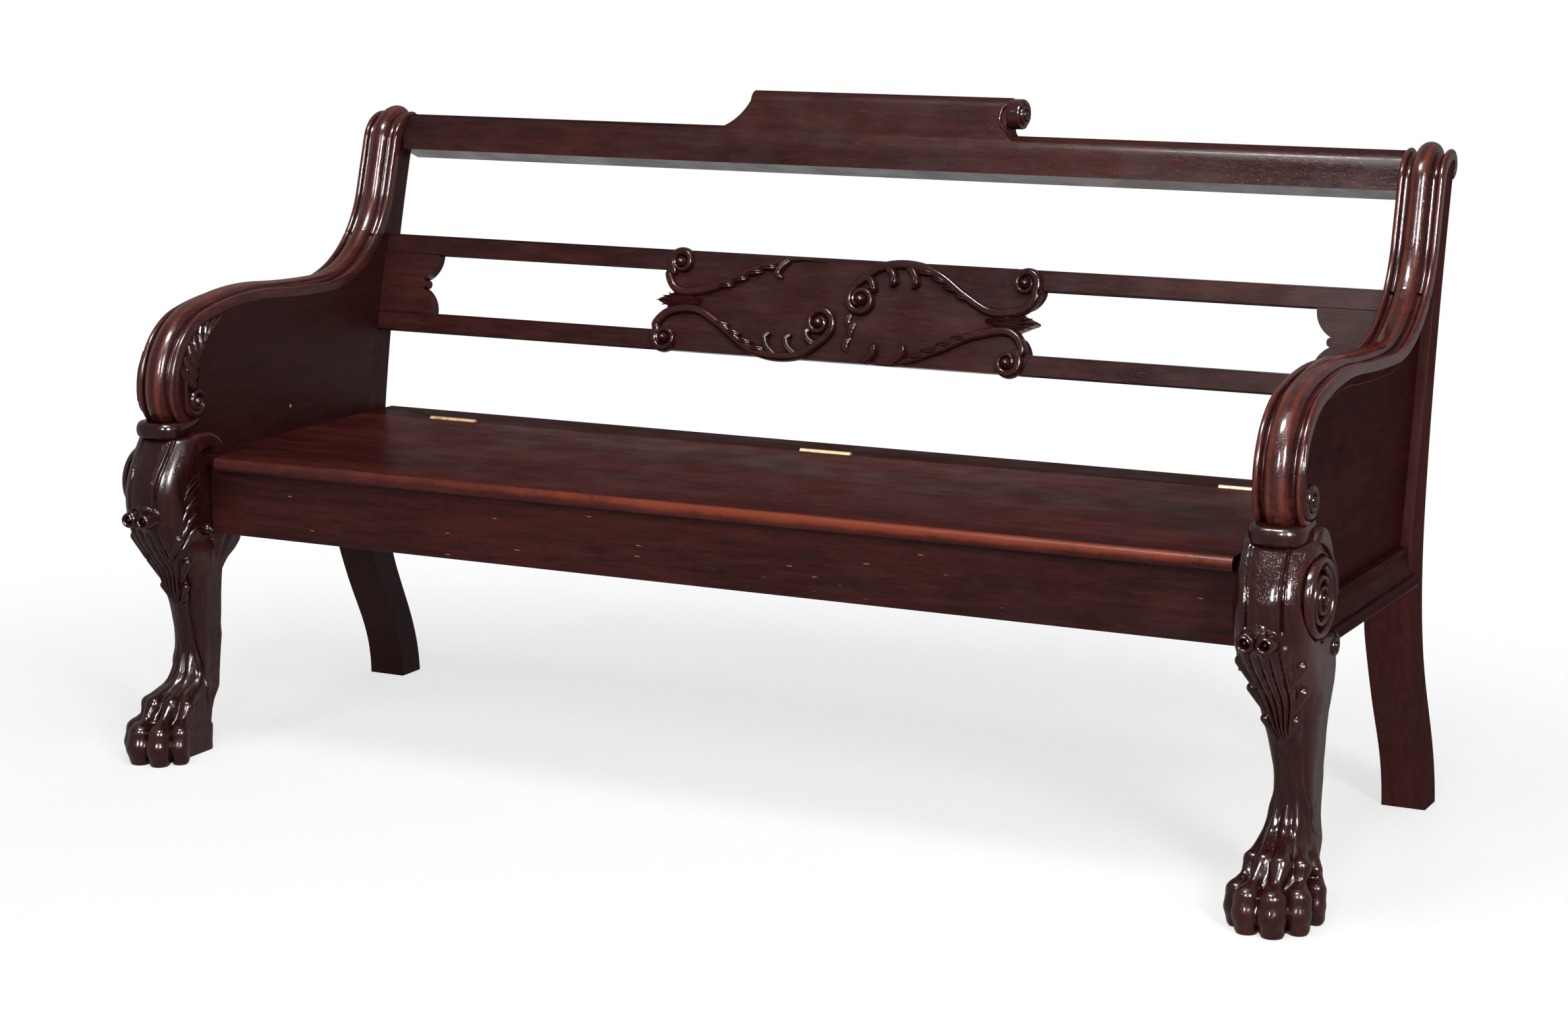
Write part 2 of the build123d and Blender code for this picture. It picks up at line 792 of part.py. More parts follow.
def batten_screws(room):
    screws = []
    for x, y in batten_spots():
        for step in (-0.4, 0, 0.4):
            place = Pos(x, y + step * batten_length, lid_bottom - screw_long / 2)
            screws.append(place * wood_screw(room))
    return screws


def lid_battens():
    battens = []
    holes = batten_screws(pin_play)
    for i, (x, y) in enumerate(batten_spots()):
        batten = block((x - batten_width / 2, y - batten_length / 2, lid_bottom - batten_thick),
                       (x + batten_width / 2, y + batten_length / 2, lid_bottom))
        for hole in holes[3 * i:3 * i + 3]:
            batten -= hole
            top = hole.bounding_box().min.Z
            well = lid_bottom - batten_thick
            batten -= Pos(hole.center().X, hole.bounding_box().center().Y, (top + well) / 2) * Cylinder(
                screw_head + pin_play, top - well + 0.2)
        battens.append(batten)
    return battens


nodes = {}
both_sides("front_leg", front_leg(), nodes)
both_sides("leg_collar", leg_collar(), nodes)
both_sides("rear_leg", rear_leg(), nodes)
both_sides("side_panel", side_panel(), nodes)
both_sides("arm_moulding", arm_moulding(), nodes)
both_sides("arm_cove", arm_cove(), nodes)
both_sides("upright_moulding", upright_moulding(), nodes)
both_sides("side_rail", side_rail(), nodes)
both_sides("lid_bearer", lid_bearer(), nodes)
both_sides("upper_back_rail", back_rail_segment(upper_rail_at), nodes)
both_sides("lower_back_rail", back_rail_segment(lower_rail_at), nodes)
both_sides("bracket_upper", bracket_half(True), nodes)
both_sides("bracket_lower", bracket_half(False), nodes)
nodes["front_apron"] = front_apron()
nodes["back_rail"] = back_rail()
nodes["seat_strip"] = seat_strip()
nodes["ledger_strips"] = Compound(children=ledger_strips())
nodes["bottom_boards"] = Compound(children=bottom_boards())
nodes["corner_blocks"] = Compound(children=corner_blocks())
nodes["splat_panel"] = splat_panel()
left_scroll = splat_scroll()
nodes["splat_scroll_left"] = left_scroll
nodes["splat_scroll_right"] = turned_scroll(left_scroll)
nodes["crest_rail"] = crest_rail()
nodes["tablet_volute"] = tablet_volute()
nodes["hinge_leaves_fixed"] = Compound(children=[hinge_leaf(x, 1) for x in hinge_at])
nodes["hinge_pins"] = Compound(children=[hinge_pin(x) for x in hinge_at])
nodes["fixed_leaf_screws"] = Compound(children=all_leaf_screws(1))
nodes["seat_lid"] = seat_lid()
nodes["lid_battens"] = Compound(children=lid_battens())
nodes["batten_screws"] = Compound(children=batten_screws(0))
nodes["hinge_leaves_lid"] = Compound(children=[hinge_leaf(x, -1) for x in hinge_at])
nodes["lid_leaf_screws"] = Compound(children=all_leaf_screws(-1))

for name, part in nodes.items():
    export_step(part, f"parts/{name}.step")
    box = part.bounding_box()
    print(name, len(part.solids()), [round(v, 1) for v in (*box.min, *box.max)])
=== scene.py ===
import bmesh
import bpy
import math
import numpy as np
from mathutils import Vector, Matrix


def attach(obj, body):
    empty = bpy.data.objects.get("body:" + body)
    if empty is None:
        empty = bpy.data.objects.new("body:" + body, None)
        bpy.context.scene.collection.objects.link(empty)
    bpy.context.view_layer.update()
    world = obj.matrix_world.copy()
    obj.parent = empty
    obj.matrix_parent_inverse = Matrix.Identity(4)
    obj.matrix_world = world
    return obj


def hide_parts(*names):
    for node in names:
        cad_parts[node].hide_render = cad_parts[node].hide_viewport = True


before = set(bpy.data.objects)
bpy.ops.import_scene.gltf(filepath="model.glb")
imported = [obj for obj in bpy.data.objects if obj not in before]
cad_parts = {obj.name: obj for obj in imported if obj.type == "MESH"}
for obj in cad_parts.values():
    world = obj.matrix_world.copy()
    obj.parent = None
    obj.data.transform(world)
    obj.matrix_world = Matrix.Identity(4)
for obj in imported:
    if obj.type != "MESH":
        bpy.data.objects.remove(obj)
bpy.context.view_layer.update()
mm = 0.001
endX = 845.0  # legs, posts and arms stand about the planes x = +endX and x = -endX

cameraView = {"place": (2.067, -3.953, 1.271), "turn": 27.33, "tilt": 7.85, "roll": -0.14,
              "lens": 73.78, "shift": -0.12}


def setCamera():
    turn, tilt, roll = (math.radians(cameraView[key]) for key in ("turn", "tilt", "roll"))
    ahead = Vector((-math.sin(turn) * math.cos(tilt), math.cos(turn) * math.cos(tilt), -math.sin(tilt)))
    level = Vector((math.cos(turn), math.sin(turn), 0))
    raised = level.cross(ahead)
    right = math.cos(roll) * level + math.sin(roll) * raised
    up = right.cross(ahead)
    data = bpy.data.cameras.new("camera")
    data.lens = cameraView["lens"]
    data.sensor_width = 36
    data.sensor_fit = "HORIZONTAL"
    data.shift_y = cameraView["shift"]
    camera = bpy.data.objects.new("camera", data)
    turned = Matrix((right, up, -ahead)).transposed().to_4x4()
    camera.matrix_world = Matrix.Translation(cameraView["place"]) @ turned
    bpy.context.scene.collection.objects.link(camera)
    bpy.context.scene.camera = camera


setCamera()
bpy.context.scene.view_settings.view_transform = "Standard"
print("camera set")


def addNode(tree, kind, inputs=None, **settings):
    node = tree.nodes.new(kind)
    for key, value in settings.items():
        setattr(node, key, value)
    for key, value in (inputs or {}).items():
        node.inputs[key].default_value = value
    return node


def newGroup(name, inputs, outputs):
    group = bpy.data.node_groups.new(name, "ShaderNodeTree")
    for label, kind in inputs:
        group.interface.new_socket(name=label, in_out="INPUT", socket_type=kind)
    for label, kind in outputs:
        group.interface.new_socket(name=label, in_out="OUTPUT", socket_type=kind)
    return group, group.nodes.new("NodeGroupInput"), group.nodes.new("NodeGroupOutput")


def remap(tree, source, low, high, toLow=0.0, toHigh=1.0):
    node = addNode(tree, "ShaderNodeMapRange",
                   {"From Min": low, "From Max": high, "To Min": toLow, "To Max": toHigh})
    node.interpolation_type = "SMOOTHSTEP"
    tree.links.new(source, node.inputs["Value"])
    return node.outputs["Result"]


def compute(tree, operation, first, second):
    node = addNode(tree, "ShaderNodeMath", operation=operation)
    for socket, value in zip(node.inputs, (first, second)):
        if isinstance(value, (int, float)):
            socket.default_value = value
        else:
            tree.links.new(value, socket)
    return node.outputs[0]


def mixColour(tree, mask, first, second, blend="MIX"):
    node = addNode(tree, "ShaderNodeMix", data_type="RGBA", blend_type=blend)
    for socket, value in ((node.inputs[0], mask), (node.inputs[6], first), (node.inputs[7], second)):
        if isinstance(value, tuple):
            socket.default_value = (*value, 1)
        elif isinstance(value, (int, float)):
            socket.default_value = value
        else:
            tree.links.new(value, socket)
    return node.outputs[2]


def noiseOf(tree, vector, scale, detail=3.0, roughness=0.55, distortion=0.0):
    node = addNode(tree, "ShaderNodeTexNoise", {"Scale": scale, "Detail": detail, "Roughness": roughness,
                                                "Distortion": distortion})
    tree.links.new(vector, node.inputs["Vector"])
    return node.outputs["Fac"]


# A material with its tree, its Principled shader and its Object coordinates
def newMaterial(name):
    material = bpy.data.materials.new(name)
    material.use_nodes = True
    tree = material.node_tree
    place = addNode(tree, "ShaderNodeTexCoord").outputs["Object"]
    return material, tree, tree.nodes["Principled BSDF"], place


def addBump(tree, shader, height, strength, distance):
    bump = addNode(tree, "ShaderNodeBump", {"Strength": strength, "Distance": distance})
    tree.links.new(height, bump.inputs["Height"])
    tree.links.new(bump.outputs["Normal"], shader.inputs["Normal"])


# 1 on the rays that the eye sees: straight, through glass or in gloss
def seenRays(tree):
    rays = addNode(tree, "ShaderNodeLightPath")
    seen = compute(tree, "MAXIMUM", rays.outputs["Is Camera Ray"], rays.outputs["Is Transmission Ray"])
    return compute(tree, "MAXIMUM", seen, rays.outputs["Is Glossy Ray"])


# Wood figure: broad clouds and streaks give the tone, short dark ticks are the pores
def makeFigureGroup():
    group, given, result = newGroup("woodFigure", [("Vector", "NodeSocketVector")],
                                    [("Tone", "NodeSocketFloat"), ("Pores", "NodeSocketFloat"),
                                     ("Relief", "NodeSocketFloat")])
    vector = given.outputs["Vector"]
    broad = noiseOf(group, vector, 1.3, 2.0)
    streak = noiseOf(group, vector, 13.0, 6.0, 0.62, 0.3)
    fibre = noiseOf(group, vector, 46.0, 3.0, 0.6)
    pore = remap(group, noiseOf(group, vector, 105.0, 2.0), 0.56, 0.68)
    tone = compute(group, "ADD", compute(group, "MULTIPLY", broad, 0.36), compute(group, "MULTIPLY", streak, 0.42))
    tone = compute(group, "ADD", tone, compute(group, "MULTIPLY", fibre, 0.22))
    group.links.new(remap(group, tone, 0.31, 0.69), result.inputs["Tone"])
    group.links.new(pore, result.inputs["Pores"])
    relief = compute(group, "SUBTRACT", compute(group, "MULTIPLY", fibre, 0.5), pore)
    group.links.new(relief, result.inputs["Relief"])
    return group


# Rubbed edges: the wear attribute, broken up by blotches; on the lid's front edge it also carries a painted highlight
def makeWearGroup():
    group, given, result = newGroup("rubbedEdgesAndSheen", [("Wear", "NodeSocketFloat"), ("Vector", "NodeSocketVector")],
                                    [("Mask", "NodeSocketFloat")])
    blotch = noiseOf(group, given.outputs["Vector"], 22.0, 5.0, 0.65)
    fine = noiseOf(group, given.outputs["Vector"], 160.0, 3.0, 0.6)
    broken = compute(group, "ADD", compute(group, "MULTIPLY", blotch, 1.1), compute(group, "MULTIPLY", fine, 0.4))
    level = compute(group, "MULTIPLY", given.outputs["Wear"], broken)
    group.links.new(remap(group, level, 0.22, 0.85), result.inputs["Mask"])
    return group


# Chips and scratches: a few Voronoi cells keep a small pale spot, thin stretched noise gives hair lines
def makeScuffGroup():
    group, given, result = newGroup("scuffs", [("Vector", "NodeSocketVector")],
                                    [("Chips", "NodeSocketFloat"), ("Lines", "NodeSocketFloat")])
    vector = given.outputs["Vector"]
    cells = addNode(group, "ShaderNodeTexVoronoi", {"Scale": 26.0, "Randomness": 1.0})
    group.links.new(vector, cells.inputs["Vector"])
    near = remap(group, cells.outputs["Distance"], 0.16, 0.05)
    pick = addNode(group, "ShaderNodeSeparateColor")
    group.links.new(cells.outputs["Color"], pick.inputs["Color"])
    rare = compute(group, "GREATER_THAN", pick.outputs[0], 0.9)
    group.links.new(compute(group, "MULTIPLY", near, rare), result.inputs["Chips"])
    thin = remap(group, noiseOf(group, vector, 34.0, 2.0, 0.4), 0.69, 0.73)
    group.links.new(thin, result.inputs["Lines"])
    return group


figureGroup = makeFigureGroup()
wearAndSheenGroup = makeWearGroup()
scuffGroup = makeScuffGroup()

grainStretch = {"x": (1.0, 8.0, 8.0), "y": (8.0, 1.0, 8.0), "z": (8.0, 8.0, 1.0)}
# The worn colour is rubbed red wear; on the lid's front edge it also paints a highlight along the top of the nosing
mahoganyFinish = {"dark": (0.0105, 0.0026, 0.0029), "middle": (0.027, 0.0058, 0.0052),
                  "light": (0.052, 0.0115, 0.0082), "worn": (0.150, 0.026, 0.010), "pale": (0.36, 0.20, 0.09)}


# Object coordinates stretched along the grain, and the figure that reads them
def addFigure(tree, place, grain):
    stretch = addNode(tree, "ShaderNodeMapping", {"Scale": grainStretch[grain]})
    tree.links.new(place, stretch.inputs["Vector"])
    figure = addNode(tree, "ShaderNodeGroup", node_tree=figureGroup)
    tree.links.new(stretch.outputs[0], figure.inputs["Vector"])
    return stretch.outputs[0], figure


# Polished mahogany: figure through a colour ramp, rubbed red on worn edges, dark in hollows; on the lid the rubbed red
# along the front edge is partly real wear and partly a painted highlight
def makeMahogany(name, grain, gloss, tint=1.0, wornShare=1.0, chipShare=0.0, frontWearAndSheen=None, contrast=1.0):
    material, tree, shader, place = newMaterial(name)
    stretched, figure = addFigure(tree, place, grain)
    ramp = addNode(tree, "ShaderNodeValToRGB")
    for spot, key in ((0.0, "dark"), (0.5, "middle"), (1.0, "light")):
        stop = ramp.color_ramp.elements.new(spot) if key == "middle" else ramp.color_ramp.elements[-int(spot)]
        stop.position = spot
        pairs = zip(mahoganyFinish["middle"], mahoganyFinish[key])
        stop.color = (*(tint * (plain + contrast * (level - plain)) for plain, level in pairs), 1)
    tree.links.new(figure.outputs["Tone"], ramp.inputs["Fac"])
    poreShade = compute(tree, "MULTIPLY", figure.outputs["Pores"], 0.55)
    colour = mixColour(tree, poreShade, ramp.outputs["Color"], mahoganyFinish["dark"])
    attribute = addNode(tree, "ShaderNodeAttribute", attribute_name="wear")
    worn = addNode(tree, "ShaderNodeGroup", node_tree=wearAndSheenGroup)
    wear = attribute.outputs["Fac"]
    # Lid's front edge: real wear plus a painted highlight, strongest along the top of the nosing and towards the right
    # end, where the light falls
    if frontWearAndSheen:
        apart = addNode(tree, "ShaderNodeSeparateXYZ")
        tree.links.new(place, apart.inputs[0])
        lengthwise = remap(tree, apart.outputs["X"], -0.6, 0.25, 0.5, 1.1)
        frontWearAndHighlight = compute(tree, "MULTIPLY", remap(tree, apart.outputs["Y"], *frontWearAndSheen), lengthwise)
        frontWearAndHighlight = compute(tree, "MULTIPLY", frontWearAndHighlight, remap(tree, apart.outputs["Z"], 0.43, 0.443, 0.3, 1.0))
        wear = compute(tree, "MAXIMUM", wear, frontWearAndHighlight)
    tree.links.new(wear, worn.inputs["Wear"])
    tree.links.new(place, worn.inputs["Vector"])
    wearAndSheenMask = compute(tree, "MULTIPLY", worn.outputs["Mask"], wornShare)
    colour = mixColour(tree, wearAndSheenMask, colour, mahoganyFinish["worn"])
    hollow = addNode(tree, "ShaderNodeAttribute", attribute_name="hollow")
    hollowMask = compute(tree, "MULTIPLY", hollow.outputs["Fac"], 0.8)
    colour = mixColour(tree, hollowMask, colour, tuple(0.5 * level for level in mahoganyFinish["dark"]))
    scuff = addNode(tree, "ShaderNodeGroup", node_tree=scuffGroup)
    tree.links.new(stretched, scuff.inputs["Vector"])
    if chipShare:
        chips = compute(tree, "MULTIPLY", scuff.outputs["Chips"], chipShare)
        colour = mixColour(tree, chips, colour, mahoganyFinish["pale"])
    tree.links.new(colour, shader.inputs["Base Color"])
    cloud = noiseOf(tree, place, 14.0, 4.0)
    rough = remap(tree, cloud, 0.3, 0.7, gloss["rough"] - 0.05, gloss["rough"] + 0.08)
    rough = compute(tree, "ADD", rough, compute(tree, "MULTIPLY", scuff.outputs["Lines"], 0.15))
    tree.links.new(rough, shader.inputs["Roughness"])
    facing = addNode(tree, "ShaderNodeLayerWeight", {"Blend": 0.5}).outputs["Facing"]
    level = remap(tree, facing, *gloss["fadeSpan"], gloss["specular"], gloss["grazing"])
    heading = addNode(tree, "ShaderNodeSeparateXYZ")
    tree.links.new(addNode(tree, "ShaderNodeNewGeometry").outputs["Normal"], heading.inputs[0])
    under = remap(tree, heading.outputs["Z"], -0.6, -0.85, 0.0, gloss["underside"])
    tree.links.new(compute(tree, "MAXIMUM", level, under), shader.inputs["Specular IOR Level"])
    ripple = noiseOf(tree, place, 60.0, 2.0)
    height = compute(tree, "ADD", compute(tree, "MULTIPLY", figure.outputs["Relief"], 0.35),
                     compute(tree, "MULTIPLY", ripple, gloss["ripple"]))
    addBump(tree, shader, height, 0.35, 0.0006)
    return material


flatGloss = {"rough": 0.33, "specular": 0.055, "grazing": 0.001, "fadeSpan": (0.25, 0.72), "underside": 0.25,
             "ripple": 0.12}
carvedGloss = {"rough": 0.14, "specular": 0.12, "grazing": 0.002, "fadeSpan": (0.35, 0.85), "underside": 0.0,
               "ripple": 0.2}
mahoganyX = makeMahogany("mahoganyAlongX", "x", flatGloss)
mahoganyY = makeMahogany("mahoganyAlongY", "y", flatGloss, tint=0.9)
mahoganyPanel = makeMahogany("mahoganyPanel", "y", flatGloss, tint=0.85, contrast=0.5)
# The lid's front edge gets rubbed red that is partly real wear and partly a painted highlight
mahoganyLid = makeMahogany("mahoganyLid", "x", flatGloss, tint=1.45, frontWearAndSheen=(-0.243, -0.253))
mahoganyApron = makeMahogany("mahoganyApron", "x", flatGloss, tint=0.85, chipShare=0.9)
mouldedY = makeMahogany("mouldedAlongY", "y", carvedGloss, tint=1.5)
mouldedZ = makeMahogany("mouldedAlongZ", "z", carvedGloss, tint=1.5)
carvedWood = makeMahogany("carvedMahogany", "z", carvedGloss, tint=0.82, wornShare=0.6)
# The rear legs are lit and shaded copies of one finish: the right leg's lighter copy is painted light, the left leg's
# darker copy is painted shade
mahoganyRearPaintedLight = makeMahogany("mahoganyRearPaintedLight", "z", flatGloss, tint=1.35, contrast=0.6)
mahoganyRearPaintedShade = makeMahogany("mahoganyRearPaintedShade", "z", flatGloss, tint=0.65, contrast=0.6)
carvedRelief = makeMahogany("carvedReliefAlongX", "x", carvedGloss, wornShare=0.8)
print("wood finishes made")


# Plain inner wood: pale streaked pine colour, dull
def makeInnerWood():
    material, tree, shader, place = newMaterial("innerWood")
    figure = addFigure(tree, place, "x")[1]
    colour = mixColour(tree, figure.outputs["Tone"], (0.17, 0.095, 0.048), (0.33, 0.20, 0.105))
    colour = mixColour(tree, compute(tree, "MULTIPLY", figure.outputs["Pores"], 0.4), colour, (0.09, 0.05, 0.026))
    tree.links.new(colour, shader.inputs["Base Color"])
    tree.links.new(remap(tree, figure.outputs["Tone"], 0.0, 1.0, 0.62, 0.74), shader.inputs["Roughness"])
    addBump(tree, shader, figure.outputs["Relief"], 0.3, 0.0008)
    return material


# Old metal: a clean and a tarnished colour mixed by blotches
def makeOldMetal(name, clean, tarnished, rough):
    material, tree, shader, place = newMaterial(name)
    blotch = remap(tree, noiseOf(tree, place, 90.0, 5.0, 0.65), 0.38, 0.62)
    tree.links.new(mixColour(tree, blotch, clean, tarnished), shader.inputs["Base Color"])
    tree.links.new(remap(tree, blotch, 0.0, 1.0, rough - 0.1, rough + 0.12), shader.inputs["Roughness"])
    shader.inputs["Metallic"].default_value = 0.85
    addBump(tree, shader, noiseOf(tree, place, 300.0, 3.0), 0.2, 0.0003)
    return material


innerWood = makeInnerWood()
hingeBrass = makeOldMetal("hingeBrass", (0.30, 0.20, 0.115), (0.17, 0.105, 0.065), 0.5)
screwSteel = makeOldMetal("screwSteel", (0.30, 0.28, 0.26), (0.15, 0.12, 0.10), 0.5)


# Quads of a grid of rows by columns of points, wrapped round where asked
def gridFaces(rows, columns, wrapRows=False, wrapColumns=False):
    row = np.arange(rows if wrapRows else rows - 1)
    column = np.arange(columns if wrapColumns else columns - 1)
    a, b = np.meshgrid(row, column, indexing="ij")
    c, d = (a + 1) % rows, (b + 1) % columns
    return np.stack([a * columns + b, c * columns + b, c * columns + d, a * columns + d], -1).reshape(-1, 4)


# Rings as a tube: the first ring is closed to a point, the last is left open
def tubeFrom(grid):
    columns = grid.shape[1]
    grid = np.concatenate([grid[:1].mean(1, keepdims=True).repeat(columns, 1), grid])
    return grid, gridFaces(len(grid), columns, wrapColumns=True)


# A slab: count points round the front, the same round the back, and the strip between them
def slabFaces(count):
    ring = np.arange(count)
    after = (ring + 1) % count
    strip = np.stack([ring, ring + count, after + count, after], 1).tolist()
    return [ring.tolist(), (ring[::-1] + count).tolist()] + strip


# Several (points, faces) sheets joined into one list of points and faces
def joinSheets(sheets):
    points, faces, start = [], [], 0
    for sheetPoints, sheetFaces in sheets:
        flat = np.asarray(sheetPoints, float).reshape(-1, 3)
        points.append(flat)
        faces.append(np.asarray(sheetFaces) + start)
        start += len(flat)
    return np.concatenate(points), np.concatenate(faces)


# Convexity at each vertex: how far its neighbours' mean lies below it, along the normal
def convexity(mesh):
    count = len(mesh.vertices)
    spots, normals = np.zeros(count * 3), np.zeros(count * 3)
    mesh.vertices.foreach_get("co", spots)
    mesh.vertices.foreach_get("normal", normals)
    spots, normals = spots.reshape(-1, 3), normals.reshape(-1, 3)
    edges = np.zeros(len(mesh.edges) * 2, int)
    mesh.edges.foreach_get("vertices", edges)
    a, b = edges.reshape(-1, 2).T
    span = spots[b] - spots[a]
    length = np.maximum(np.linalg.norm(span, axis=1), 1e-9)
    bend = np.zeros(count)
    share = np.zeros(count)
    np.add.at(bend, a, -(span * normals[a]).sum(1) / length)
    np.add.at(bend, b, (span * normals[b]).sum(1) / length)
    np.add.at(share, a, 1)
    np.add.at(share, b, 1)
    bend /= np.maximum(share, 1)
    for _ in range(2):
        total = bend.copy()
        np.add.at(total, a, bend[b])
        np.add.at(total, b, bend[a])
        bend = total / (share + 1)
    return bend


def setAttribute(mesh, name, values):
    attribute = mesh.attributes.new(name, "FLOAT", "POINT")
    attribute.data.foreach_set("value", np.asarray(values, np.float32))


# A mesh from points in millimetres: doubles merged, normals outward, sharp past an angle
def makePiece(name, points, faces, material, body, slot, nodes=(), sharp=40.0, wear=None, bendWear=0.0):
    mesh = bpy.data.meshes.new(name)
    points = np.asarray(points, float).reshape(-1, 3) * mm
    mesh.from_pydata(points.tolist(), [], faces.tolist() if isinstance(faces, np.ndarray) else faces)
    if wear is not None:
        setAttribute(mesh, "wear", np.asarray(wear).ravel())
    solid = bmesh.new()
    solid.from_mesh(mesh)
    bmesh.ops.remove_doubles(solid, verts=solid.verts, dist=2e-6)
    bmesh.ops.dissolve_degenerate(solid, edges=solid.edges, dist=1e-7)
    bmesh.ops.recalc_face_normals(solid, faces=solid.faces)
    solid.to_mesh(mesh)
    solid.free()
    mesh.shade_smooth()
    mesh.set_sharp_from_angle(angle=math.radians(sharp))
    if bendWear:
        bend = convexity(mesh)
        setAttribute(mesh, "wear", np.clip(bend * bendWear, 0, 1))
        setAttribute(mesh, "hollow", np.clip(-bend * bendWear * 1.3, 0, 1))
    mesh.materials.append(material)
    piece = bpy.data.objects.new(name, mesh)
    bpy.context.scene.collection.objects.link(piece)
    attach(piece, body)
    if nodes:
        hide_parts(*nodes)
    return piece


# The same piece on the left, mirrored across x = 0
def mirrored(points):
    return np.asarray(points, float).reshape(-1, 3) * np.array([-1.0, 1.0, 1.0])


def bothSides(name, points, faces, material, body, slot, nodes=(), **options):
    for side, shape in (("right", points), ("left", mirrored(points))):
        makePiece(f"{name}_{side}", shape, faces, material, body, slot,
                  [f"{node}_{side}" for node in nodes], **options)


# A copy of a solid with its arrises rounded off; the rounded faces carry the wear
def easedCopy(node, material, body, edge=1.2, wear=0.36):
    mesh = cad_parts[node].data.copy()
    mesh.name = node + "_eased"
    solid = bmesh.new()
    solid.from_mesh(mesh)
    bmesh.ops.remove_doubles(solid, verts=solid.verts, dist=1e-5)
    bmesh.ops.dissolve_limit(solid, angle_limit=math.radians(0.5), verts=solid.verts, edges=solid.edges)
    sharp = [e for e in solid.edges if len(e.link_faces) == 2 and e.calc_face_angle(0) > math.radians(35)]
    layer = solid.faces.layers.float.new("wear")
    done = bmesh.ops.bevel(solid, geom=sharp, offset=edge * mm, segments=2, profile=0.6, affect="EDGES",
                           clamp_overlap=True)
    for face in done["faces"]:
        face[layer] = wear
    solid.to_mesh(mesh)
    solid.free()
    mesh.shade_smooth()
    mesh.set_sharp_from_angle(angle=math.radians(18))
    mesh.materials.clear()
    mesh.materials.append(material)
    piece = bpy.data.objects.new(node + "_eased", mesh)
    bpy.context.scene.collection.objects.link(piece)
    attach(piece, body)
    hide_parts(node)
    return piece


# A smooth line through points: Catmull-Rom pieces, sampled at even steps
def smoothPath(points, count):
    knots = np.asarray(points, float)
    wide = np.concatenate([2 * knots[:1] - knots[1:2], knots, 2 * knots[-1:] - knots[-2:-1]])
    t = np.linspace(0, len(knots) - 1 - 1e-9, count * 5)
    i = t.astype(int)
    f = (t - i)[:, None]
    a, b, c, d = wide[i], wide[i + 1], wide[i + 2], wide[i + 3]
    line = 0.5 * (2 * b + (c - a) * f + (2 * a - 5 * b + 4 * c - d) * f ** 2 + (3 * b - a - 3 * c + d) * f ** 3)
    run = np.concatenate([[0], np.cumsum(np.linalg.norm(np.diff(line, axis=0), axis=1))])
    even = np.linspace(0, run[-1], count)
    return np.stack([np.interp(even, run, line[:, k]) for k in range(line.shape[1])], 1)


# A spiral winding in: the radius falls evenly from outer to inner while the angle turns
def spiralPath(centre, outer, inner, start, turns, count):
    part = np.linspace(0, 1, count)
    radius = outer + (inner - outer) * part
    angle = math.radians(start) + 2 * math.pi * turns * part
    return np.stack([centre[0] + radius * np.cos(angle), centre[1] + radius * np.sin(angle)], 1)


def spread(values, count):
    return np.interp(np.linspace(0, 1, count), np.linspace(0, 1, len(values)), values)


# A carved stroke on a flat ground, in (u, v, height): the line plus width * cos(a) across it, and
# height * sin(a) up; a crease runs along its top where asked
def stroke(line, width, height, columns=13, sink=-2.0, crease=0.0):
    count = len(line)
    width, height = spread(width, count), spread(height, count)
    ahead = np.gradient(line, axis=0)
    ahead /= np.maximum(np.linalg.norm(ahead, axis=1, keepdims=True), 1e-9)
    side = np.stack([-ahead[:, 1], ahead[:, 0]], 1)
    angle = np.linspace(0, math.pi, columns)
    flat = line[:, None, :] + (width[:, None] * np.cos(angle))[..., None] * side[:, None, :]
    bulge = np.sin(angle) ** 0.8 * (1 - crease * np.exp(-((angle - math.pi / 2) / 0.3) ** 2))
    high = sink + (height[:, None] - sink) * bulge[None, :]
    grid = np.concatenate([flat, high[..., None]], -1)
    ends = [np.concatenate([line[k], [sink]])[None, None, :].repeat(columns, 1) for k in (0, -1)]
    grid = np.concatenate([ends[0], grid, ends[1]])
    return grid, gridFaces(len(grid), columns, wrapColumns=True)


# A round boss in (u, v, height): rings of a half ball, sunk into the ground
def boss(centre, radius, height, sink=-2.0):
    rise, turn = np.meshgrid(np.linspace(0, math.pi / 2, 9), np.linspace(0, 2 * math.pi, 24, endpoint=False),
                             indexing="ij")
    grid = np.stack([centre[0] + radius * np.cos(rise) * np.cos(turn),
                     centre[1] + radius * np.cos(rise) * np.sin(turn), height * np.sin(rise)], -1)
    foot = grid[:1].copy()
    foot[..., 2] = sink
    middle = foot.copy()
    middle[..., 0], middle[..., 1] = centre
    grid = np.concatenate([middle, foot, grid])
    return grid, gridFaces(len(grid), grid.shape[1], wrapColumns=True)


# Volute: a half-round bead wound in on itself, climbing to an eye
def volute(centre, outer, start, turns, bead=0.27, high=(4.0, 7.0), eye=0.26, count=90):
    inner = outer * eye
    line = spiralPath(centre, outer * (1 - bead * 0.9), inner, start, turns, count)
    return [stroke(line, [outer * bead, 0.62 * outer * bead], high, columns=11),
            boss(centre, inner * 1.25, high[1] + 1.5)]


# Flat (u, v, height) sheets set on a plane: origin + u * across + v * up + height * out
def onPlane(sheets, origin, across, up, out):
    origin, across, up, out = (np.array(part, float) for part in (origin, across, up, out))
    points, faces = joinSheets(sheets)
    return origin + points[:, :1] * across + points[:, 1:2] * up + points[:, 2:] * out, faces


# The same on a side face of the bench, in (y, z) at the given x, raised towards out (1 or -1)
def onSide(sheets, x, out):
    return onPlane(sheets, (x, 0, 0), (0, 1, 0), (0, 0, 1), (out, 0, 0))


